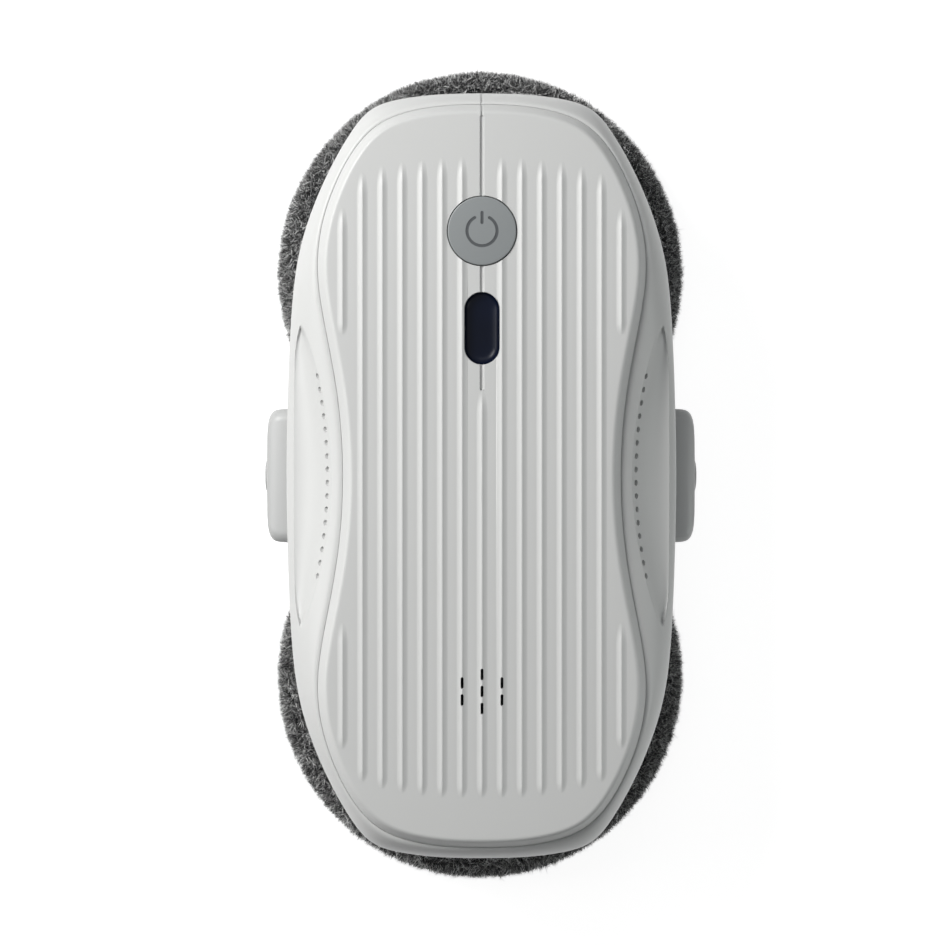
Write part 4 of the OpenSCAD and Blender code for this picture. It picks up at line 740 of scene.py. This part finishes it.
def make_case_wall():
    """The lower housing's wall: a lip inside the joint, the tucked outer face, a rounded foot
    and the inner face."""
    edge = tuck + wall + 0.5
    inner = tuck_at(parting_z) + wall + 0.2
    lip_in, lip_h, foot_h, foot_in = 1.3, 2, 2, 1.8
    low_z = np.linspace(floor_z + foot_h, parting_z - joint_rise, 14)
    loops = [outline_loop(-inward, z) for inward, z in (
        (inner + lip_in, parting_z - lip_h), (inner + lip_in, parting_z + lip_h),
        (inner, parting_z + lip_h), (inner, parting_z - joint_gap),
        (tuck_at(parting_z) + joint_chamfer, parting_z - joint_gap))]
    loops += [outline_loop(-tuck_at(z), z) for z in low_z[::-1]]
    loops += [outline_loop(-tuck_at(floor_z + foot_h) - foot_in * (1 - math.cos(a)),
                           floor_z + foot_h - foot_h * math.sin(a))
              for a in np.linspace(0, math.pi / 2, 6)[1:]]
    loops += [outline_loop(-edge, floor_z), outline_loop(-edge, floor_z + foot_h)]
    loops += [outline_loop(-wall - tuck_at(z), z) for z in (floor_z + 6, parting_z - 8)]
    case = new_object("lower_case", lofted(loops, ring=True))
    cut(case, case_openings())
    dress(case, "housing", "white_plastic", ["lower_housing"])


def make_case_floor():
    """The lower housing's floor with round holes for the wheels, pinions and screws."""
    edge, low, high = tuck + wall - 0.1, 10, 30
    floor = new_object("lower_floor", lofted([outline_loop(-edge, floor_z + up) for up in (0.05, 2)]))
    cut(floor, together(*[cylinder(well_r, low, high, (0, end * wheel_y), 128) for end in (-1, 1)]))
    pinions = [cylinder(pinion_well_r, low, high, (end * pinion_at[0], end * pinion_at[1]), 48)
               for end in (-1, 1)]
    screws = [cylinder(boss_bore_r, low, high, place) for place in boss_places()]
    cut(floor, together(*pinions, *screws))
    dress(floor, "housing", "white_plastic")


def make_wheel_wells():
    """A ribbed cup over each wheel, and the bosses for the housing's screws."""
    cups, foot, roof, stop = [], floor_z + foot_gap, roof_z + roof_d, parting_z - bore_stop_d
    for end in (-1, 1):
        centre = (0, end * wheel_y)
        hub = [(hub_bore_r, roof_z), (hub_bore_r, roof_z + hub_h), (hub_r, roof_z + hub_h), (hub_r, roof),
               (hub_r + 2, roof), (hub_r + 2, roof_z)]
        cup = [(cup_bore_r, roof_z), (cup_bore_r, roof), (well_r + 2, roof), (well_r + 2, foot),
               (well_r, foot), (well_r, roof_z)]
        cups += [revolved(hub, centre, 96, ring=True), revolved(cup, centre, 128, ring=True)]
        for k in range(6):
            angle = k * math.pi / 3
            turn = np.array([[math.cos(angle), -math.sin(angle)], [math.sin(angle), math.cos(angle)]])
            points, faces = block((hub_r + 1, -rib_half, roof_z + 0.1),
                                  (cup_bore_r + 1, rib_half, roof - 0.1))
            points[:, :2] = points[:, :2] @ turn.T + centre
            cups.append((points, faces))
    boss = [(boss_bore_r, foot), (boss_bore_r, stop), (screw_r, stop), (screw_r, parting_z),
            (boss_r, parting_z), (boss_r, foot)]
    cups += [revolved(boss, place, 40, ring=True) for place in boss_places()]
    dress(new_object("wheel_wells", together(*cups)), "housing", "white_plastic")


def make_rope_pocket():
    """A square cup, open at the end of the body, round the pin for the safety rope. Its skin
    runs from the outer mouth over the back and the inner floor to the inner mouth."""
    square = np.array([[-1, -1], [1, -1], [1, 1], [-1, 1]])
    loops = []
    for half, y in ((rope_half, rope_mouth_y), (rope_half, rope_back_y),
                    (rope_in_half, rope_floor_y), (rope_in_half, rope_mouth_y)):
        corner = square * half + [rope_x, bumper_z]
        loops.append(np.column_stack([corner[:, 0], np.full(4, y), corner[:, 1]]))
    points, faces = lofted(loops, ring=True)
    back, inner_floor = {4, 5, 6, 7}, {8, 9, 10, 11}
    faces = [face for face in faces if not (back & set(face) and inner_floor & set(face))]
    anchor = new_object("rope_pocket", (points, faces + [sorted(back), sorted(inner_floor)]))
    dress(anchor, "housing", "white_plastic")


def power_sign(low_z, high_z):
    """An open ring and a short bar of even width, the common sign for power."""
    half_gap = math.radians(29)
    turn = np.linspace(half_gap, 2 * math.pi - half_gap, 60)
    cap = np.linspace(0, math.pi, 8)[1:-1]

    def polar(radius, angle):
        return np.stack([radius * np.sin(angle), radius * np.cos(angle)], -1)

    def end_cap(angle, way):
        out = polar(1, angle)
        along = np.array([out[1], -out[0]]) * way
        bow = np.cos(cap)[:, None] * out * way + np.sin(cap)[:, None] * along
        return sign_r * out + sign_stroke_r * bow

    outer, inner = polar(sign_r + sign_stroke_r, turn), polar(sign_r - sign_stroke_r, turn[::-1])
    outline = np.concatenate([outer, end_cap(turn[-1], 1), inner, end_cap(turn[0], -1)])
    outline = outline + [0, button_y]
    ring = lofted([np.column_stack([outline, np.full(len(outline), z)]) for z in (low_z, high_z)])
    bar = lofted([stadium(2 * sign_stroke_r, sign_bar, z, (0, button_y + sign_bar_y), 8)
                  for z in (low_z, high_z)])
    return together(ring, bar)


def make_button():
    """The power button: a slightly domed disc with a rounded edge, its flange and stem, and the
    sunk sign. The dome falls by the square of the distance from the middle to the edge."""
    r, edge, low, edge_square = button_r, button_edge, plate_under - 1.3, 0.926
    profile = [(0, stem_low), (stem_r, stem_low), (stem_r, low), (r + button_flange, low),
               (r + button_flange, low + 1), (r, low + 1)]
    profile += [(r - edge + edge * math.cos(a), button_top - edge + edge * math.sin(a))
                for a in np.linspace(0, math.pi / 2, 8)]
    profile += [(r * k, button_top + button_dome * (edge_square - k * k))
                for k in (0.96, 0.9, 0.8, 0.7, 0.55, 0.4, 0.2, 0)]
    button = new_object("button", revolved(profile, (0, button_y), 160))
    cut(button, power_sign(button_top - sign_d, button_top + 1))
    dress(button, "power_button", "grey_plastic", ["power_button"])
    sign = new_object("power_sign", power_sign(button_top - sign_d - 0.05, button_top + 0.05))
    dress(sign, "power_button", "inner_plastic")


def make_window():
    """The receiver window: a sunk, dished pane with a flange below the cover. The dish deepens
    by the fifth power of the share of the way in."""
    top, centre, count = plate_z - window_sink, (0, window_y), 40
    loops = [stadium(window_w + grow, window_l + grow, z, centre, count) for grow, z in (
        (window_flange, plate_under - 1.2), (window_flange, plate_under - 0.02),
        (0, plate_under - 0.02), (0, top - 0.15))]
    for share in (0.985, 0.96, 0.93, 0.89, 0.85, 0.8, 0.74, 0.66, 0.56, 0.44, 0.3, 0.15, 0.03):
        loops.append(stadium(window_w * share, window_l - window_w * (1 - share),
                             top - window_dish * (1 - share**5), centre, count))
    dress(new_object("window", lofted(loops)), "housing", "window_plastic", ["window_lens"])


def make_bumper(name, side):
    """A bumper: a pillow-shaped block whose face rolls into its sides, on a flange with two
    posts and a flag, and a low domed cap in the middle of the face."""
    inset = np.array([15.1, 6.6, 5.2, 4.3, 3.4, 2.6, 1.9, 1.2, 0.6, 0.3, 0.12, 0.0])
    along_share = np.array([1, 1, 0.997, 0.992, 0.984, 0.97, 0.946, 0.905, 0.84, 0.77, 0.66, 0.4])
    upright_share = np.array([1, 1, 0.985, 0.968, 0.945, 0.91, 0.87, 0.82, 0.76, 0.72, 0.67, 0.6])
    loops = []
    for gap, a_share, b_share in zip(inset, along_share, upright_share):
        a, b = bumper_half * a_share, bumper_h / 2 * b_share
        ring = round_box(a, b, min(a, b) * 0.45 + (1 - b_share) * 2)
        loops.append(np.column_stack([np.full(len(ring), side * (bumper_x - gap)), ring[:, 0],
                                      ring[:, 1] + bumper_z]))
    shapes = [lofted(loops)]
    low, high = sorted((side * flange_in, side * flange_out))
    shapes.append(block((low, -flange_y, bumper_z - flange_z), (high, flange_y, bumper_z + flange_z)))
    for y in (-post_y, post_y):
        post = cylinder(post_r, post_in, bumper_core)
        shapes.append(turned_to_x(post, side, (0, y, bumper_z)))
    low, high = sorted((side * flag_in, side * bumper_core))
    shapes.append(block((low, -flag_half, bumper_z - flag_z), (high, flag_half, bumper_z + flag_z)))
    dress(new_object(name, together(*shapes)), name, "light_grey_plastic", [name], sharp=40)
    dome = [(0, -cap_in), (cap_r, -cap_in), (cap_r, 0.32), (cap_r * 0.97, 0.42), (cap_r * 0.85, 0.6),
            (cap_r * 0.6, 0.8), (cap_r * 0.3, 0.89), (0, cap_h)]
    laid = turned_to_x(revolved(dome, count=64), side, (side * bumper_x, 0, bumper_z))
    dress(new_object(name + "_dome", laid), name, "light_grey_plastic", [name + "_cap"])


foot_share = [[0.009, 1], [0, 0.81], [0.008, 0.15], [0.058, 0], [0.3, 0], [0.6, 0], [0.91, 0],
              [0.968, 0.095], [0.995, 0.305], [1, 0.57]]
rim_share = [[0.99, 0.12], [0.94, 0.52], [0.78, 0.88], [0.53, 1], [0.28, 0.93], [0.08, 0.72], [0, 0.4],
             [0, 0]]
rim_in = wheel_r + 0.3
pad_profile = np.array(
    [[pad_hole_r + (pad_r - pad_hole_r) * a, pile_h * b] for a, b in foot_share]
    + [[rim_in + (pad_r - rim_in) * a, pile_h + rim_h * b] for a, b in rim_share])


def smooth_profile(points, steps):
    """A closed profile through the middles of its sides, rounded by a quadratic B-spline."""
    t = (np.arange(steps) + 0.5)[:, None] / steps
    before, after = np.roll(points, 1, axis=0), np.roll(points, -1, axis=0)
    parts = [(a + b) / 2 * (1 - t) ** 2 + 2 * b * t * (1 - t) + (b + c) / 2 * t**2
             for a, b, c in zip(before, points, after)]
    return np.concatenate(parts)


def profile_normals(points):
    """Unit normals out of a closed profile that runs to the left round its section."""
    return -beside(np.roll(points, -1, axis=0) - np.roll(points, 1, axis=0))


def strands(generator, roots, normals, arcs, tufts, each, length, width, half_from=None):
    """Tufts of flat strands on a surface of revolution. A tuft has one root, one lean and one
    tone; its strands start a little apart, and each has its own reach and swing. A strand is a
    quad and a triangle: it rises along the normal and swings aside, little at first and more
    from its bend to its point. Its tone carries painted shade: darkest at the root, lighter
    to the point. The tufts fill a half turn from the angle half_from, or a full turn without it."""
    bend_rise, bend_swing, bend_width = 0.68, 0.46, 0.8
    # Painted shade along each strand: darkest at its root, lightest at its point.
    shade_along_strand = np.array([0.12, 0.12, 0.8, 0.8, 1.25])
    weight = arcs / arcs.sum()
    pick = generator.choice(len(roots), tufts, p=weight)
    turn = 2 * math.pi if half_from is None else math.pi
    angle = (half_from or 0) + generator.uniform(0, turn, tufts)
    slide = generator.normal(0, 0.35, tufts)
    radius, height = roots[pick].T
    n_r, n_z = normals[pick].T
    radial = np.stack([np.cos(angle), np.sin(angle), np.zeros(tufts)], -1)
    round_way = np.stack([-np.sin(angle), np.cos(angle), np.zeros(tufts)], -1)
    up = np.array([0, 0, 1.0])
    normal = radial * n_r[:, None] + up * n_z[:, None]
    down_way = radial * n_z[:, None] - up * n_r[:, None]
    root = radial * radius[:, None] + up * height[:, None] + down_way * slide[:, None]
    lean = (round_way * generator.normal(0, 0.45, (tufts, 1))
            + down_way * generator.normal(0, 0.4, (tufts, 1)))
    reach = length * generator.uniform(0.72, 1.18, (tufts, 1))
    tone = generator.beta(1.3, 1.6, tufts)

    def spread(amount):
        return (round_way[:, None] * generator.normal(0, amount, (tufts, each, 1))
                + down_way[:, None] * generator.normal(0, amount, (tufts, each, 1)))

    start = root[:, None] + spread(0.5)
    reach = reach[:, None] * generator.uniform(0.7, 1.22, (tufts, each, 1))
    rise = normal[:, None] * reach
    swing = lean[:, None] * reach + spread(0.8)
    bend = start + rise * bend_rise + swing * bend_swing + spread(0.12)
    tip = start + rise + swing
    flat_way = np.cross(generator.normal(0, 1, (tufts, each, 3)), rise)
    flat_way *= width / 2 / np.linalg.norm(flat_way, axis=2, keepdims=True)
    points = np.stack([start - flat_way, start + flat_way, bend + flat_way * bend_width,
                       bend - flat_way * bend_width, tip], 2).reshape(-1, 3)
    points[:, 2] = np.maximum(points[:, 2], 0.02)
    own = np.clip(tone[:, None] * 0.3 + generator.beta(0.55, 0.75, (tufts, each)) * 0.85, 0.03, 1)
    return points, (own[..., None] * shade_along_strand).reshape(-1)


def strand_piece(name, body, points, tones_with_root_shade, centre):
    """Strips of one quad and one triangle, with their tones, painted root shade included, kept as an
    attribute.
    """
    points = points + centre
    count = len(points) // 5
    first = np.arange(count)[:, None] * 5
    quads, triangles = first + [0, 1, 2, 3], first + [3, 2, 4]
    mesh = bpy.data.meshes.new(name)
    mesh.vertices.add(len(points))
    mesh.vertices.foreach_set("co", (points * MM).astype(np.float32).ravel())
    mesh.loops.add(count * 7)
    corners = np.concatenate([quads, triangles], 1).ravel()
    mesh.loops.foreach_set("vertex_index", corners.astype(np.int32))
    mesh.polygons.add(count * 2)
    starts = (np.arange(count)[:, None] * 7 + [0, 4]).ravel()
    mesh.polygons.foreach_set("loop_start", starts.astype(np.int32))
    mesh.update(calc_edges=True)
    tone = mesh.attributes.new("tone", "FLOAT", "POINT")
    tone.data.foreach_set("value", tones_with_root_shade.astype(np.float32))
    mesh.materials.append(finishes["pile_fabric"])
    mesh.shade_smooth()
    piece = placed(name, mesh)
    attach(piece, body)


def make_pad(end, sign, seed):
    """A cleaning pad: its core, set in from its outline, and the pile on its rim as two halves
    and on its cleaning face as one piece. The core's lumps are a product of two sines."""
    generator = np.random.default_rng(seed)
    section = smooth_profile(pad_profile, 4)
    normals = profile_normals(section)
    inset = section - normals * pile_l
    core, base = np.maximum(inset, [0, 0.6]), np.maximum(inset, [0, 0.7])
    angle = np.arange(pad_steps) * 2 * math.pi / pad_steps
    lumps = lump_h * np.sin(23 * angle) * np.sin(7 * angle)
    loops = []
    for (r, z), (n_r, n_z) in zip(core, normals):
        grown = r + lumps * n_r
        loops.append(np.column_stack([grown * np.cos(angle), grown * np.sin(angle) + sign * wheel_y,
                                      z + np.maximum(lumps * n_z, -0.2)]))
    pad = new_object(end + "_pad_core", lofted(loops, ring=True))
    # The core's tone is held low: painted shade of the depths under the pile.
    tone = pad.data.attributes.new("tone", "FLOAT", "POINT")
    core_shade = generator.uniform(0.1, 0.35, len(pad.data.vertices))
    tone.data.foreach_set("value", core_shade.astype(np.float32))
    dress(pad, end + "_wheel", "pile_fabric", [end + "_pad"], sharp=80)

    step = np.linalg.norm(np.roll(section, -1, axis=0) - section, axis=1)
    arcs = step * section[:, 0]
    on_face = (normals[:, 1] < -0.7) | (section[:, 0] < pad_hole_r + 4)
    in_gap = (section[:, 1] > pile_h - 1) & (section[:, 1] < pile_h + rim_h * 0.6)
    hidden = in_gap & (section[:, 0] < rim_in + 0.8)
    centre = np.array([0, sign * wheel_y, 0])
    for half, half_from in (("left", math.pi / 2), ("right", -math.pi / 2)):
        points, tones_with_root_shade = strands(generator, base, normals, arcs * (~on_face & ~hidden),
                                half_from=half_from, **rim_pile)
        strand_piece(end + "_pad_rim_pile_" + half, end + "_wheel", points, tones_with_root_shade, centre)
    points, tones_with_root_shade = strands(generator, base, normals, arcs * (on_face & ~hidden), **face_pile)
    strand_piece(end + "_pad_face_pile", end + "_wheel", points, tones_with_root_shade, centre)


def background_rays(tree):
    """1 for rays that show the background straight, mirrored or through glass, else 0."""
    path = tree.nodes.new("ShaderNodeLightPath")
    straight, mirrored, through = (Wire(tree, path.outputs[kind]) for kind in (
        "Is Camera Ray", "Is Glossy Ray", "Is Transmission Ray"))
    return straight.maths("MAXIMUM", straight.maths("MAXIMUM", straight, mirrored), through)


def make_stage():
    """A floor that shows white to the camera but keeps the shadow, a dim world and four lamps."""
    half, below = 3.0, -0.0002
    corners = [(-half, -half, below), (half, -half, below), (half, half, below), (-half, half, below)]
    mesh = bpy.data.meshes.new("floor")
    mesh.from_pydata(corners, [], [(0, 1, 2, 3)])
    floor = placed("floor", mesh)
    paint = Finish("floor_paint")
    paint.set("Base Color", grey(0.36))
    paint.set("Roughness", 0.9)
    paint.set("Emission Strength", 1.0)
    paint.set("Emission Color", paint.mix(background_rays(paint.tree), grey(0.0), grey(0.9)))
    mesh.materials.append(paint.material)

    world = bpy.data.worlds.new("studio")
    bpy.context.scene.world = world
    world.use_nodes = True
    tree = world.node_tree
    background = tree.nodes["Background"]
    background.inputs["Color"].default_value = (0.97, 0.985, 1.0, 1)
    feed(tree, background.inputs["Strength"], 0.1 + background_rays(tree) * 0.9)

    aim, size = Vector((0, 0, 0.05)), 0.45

    def lamp(name, azimuth, elevation, watts, colour):
        round_z, up = math.radians(azimuth), math.radians(elevation)
        towards = Vector((math.cos(round_z) * math.cos(up), math.sin(round_z) * math.cos(up), math.sin(up)))
        data = bpy.data.lights.new(name, "AREA")
        data.shape, data.size, data.energy, data.color = "DISK", size, watts, colour
        made = placed(name, data)
        made.location = aim + towards
        made.rotation_mode = "QUATERNION"
        made.rotation_quaternion = (-towards).to_track_quat("-Z", "Y")

    lamp("key", 143, 43, 9.3, (1.0, 0.995, 0.98))
    lamp("left", 178, 24, 2.3, (1.0, 0.995, 0.98))
    lamp("above", 90, 50, 0.8, (0.95, 0.975, 1.0))
    lamp("right", -15, 10, 2.1, (0.96, 1.0, 0.97))


def make_camera():
    """A long lens straight above, a touch towards the button's end and the left."""
    place, aim = Vector((-0.01101, 0.00709, 1.3)), Vector((-0.00258, 0.00072, 0))
    data = bpy.data.cameras.new("camera")
    data.sensor_width, data.lens = 36.0, 133.72
    data.clip_start, data.clip_end = 0.05, 20.0
    camera = placed("camera", data)
    back = (place - aim).normalized()
    right = Vector((0, 1, 0)).cross(back).normalized()
    turn = Matrix((right, back.cross(right), back)).transposed()
    camera.matrix_world = Matrix.Translation(place) @ turn.to_4x4()
    bpy.context.scene.camera = camera


bpy.context.scene.view_settings.view_transform = "Standard"
make_camera()
make_stage()
dress_solids()
make_cover()
make_shell()
make_case_wall()
make_case_floor()
make_wheel_wells()
make_rope_pocket()
make_button()
make_window()
make_bumper("right_bumper", 1)
make_bumper("left_bumper", -1)
make_pad("front", 1, 11)
make_pad("rear", -1, 12)
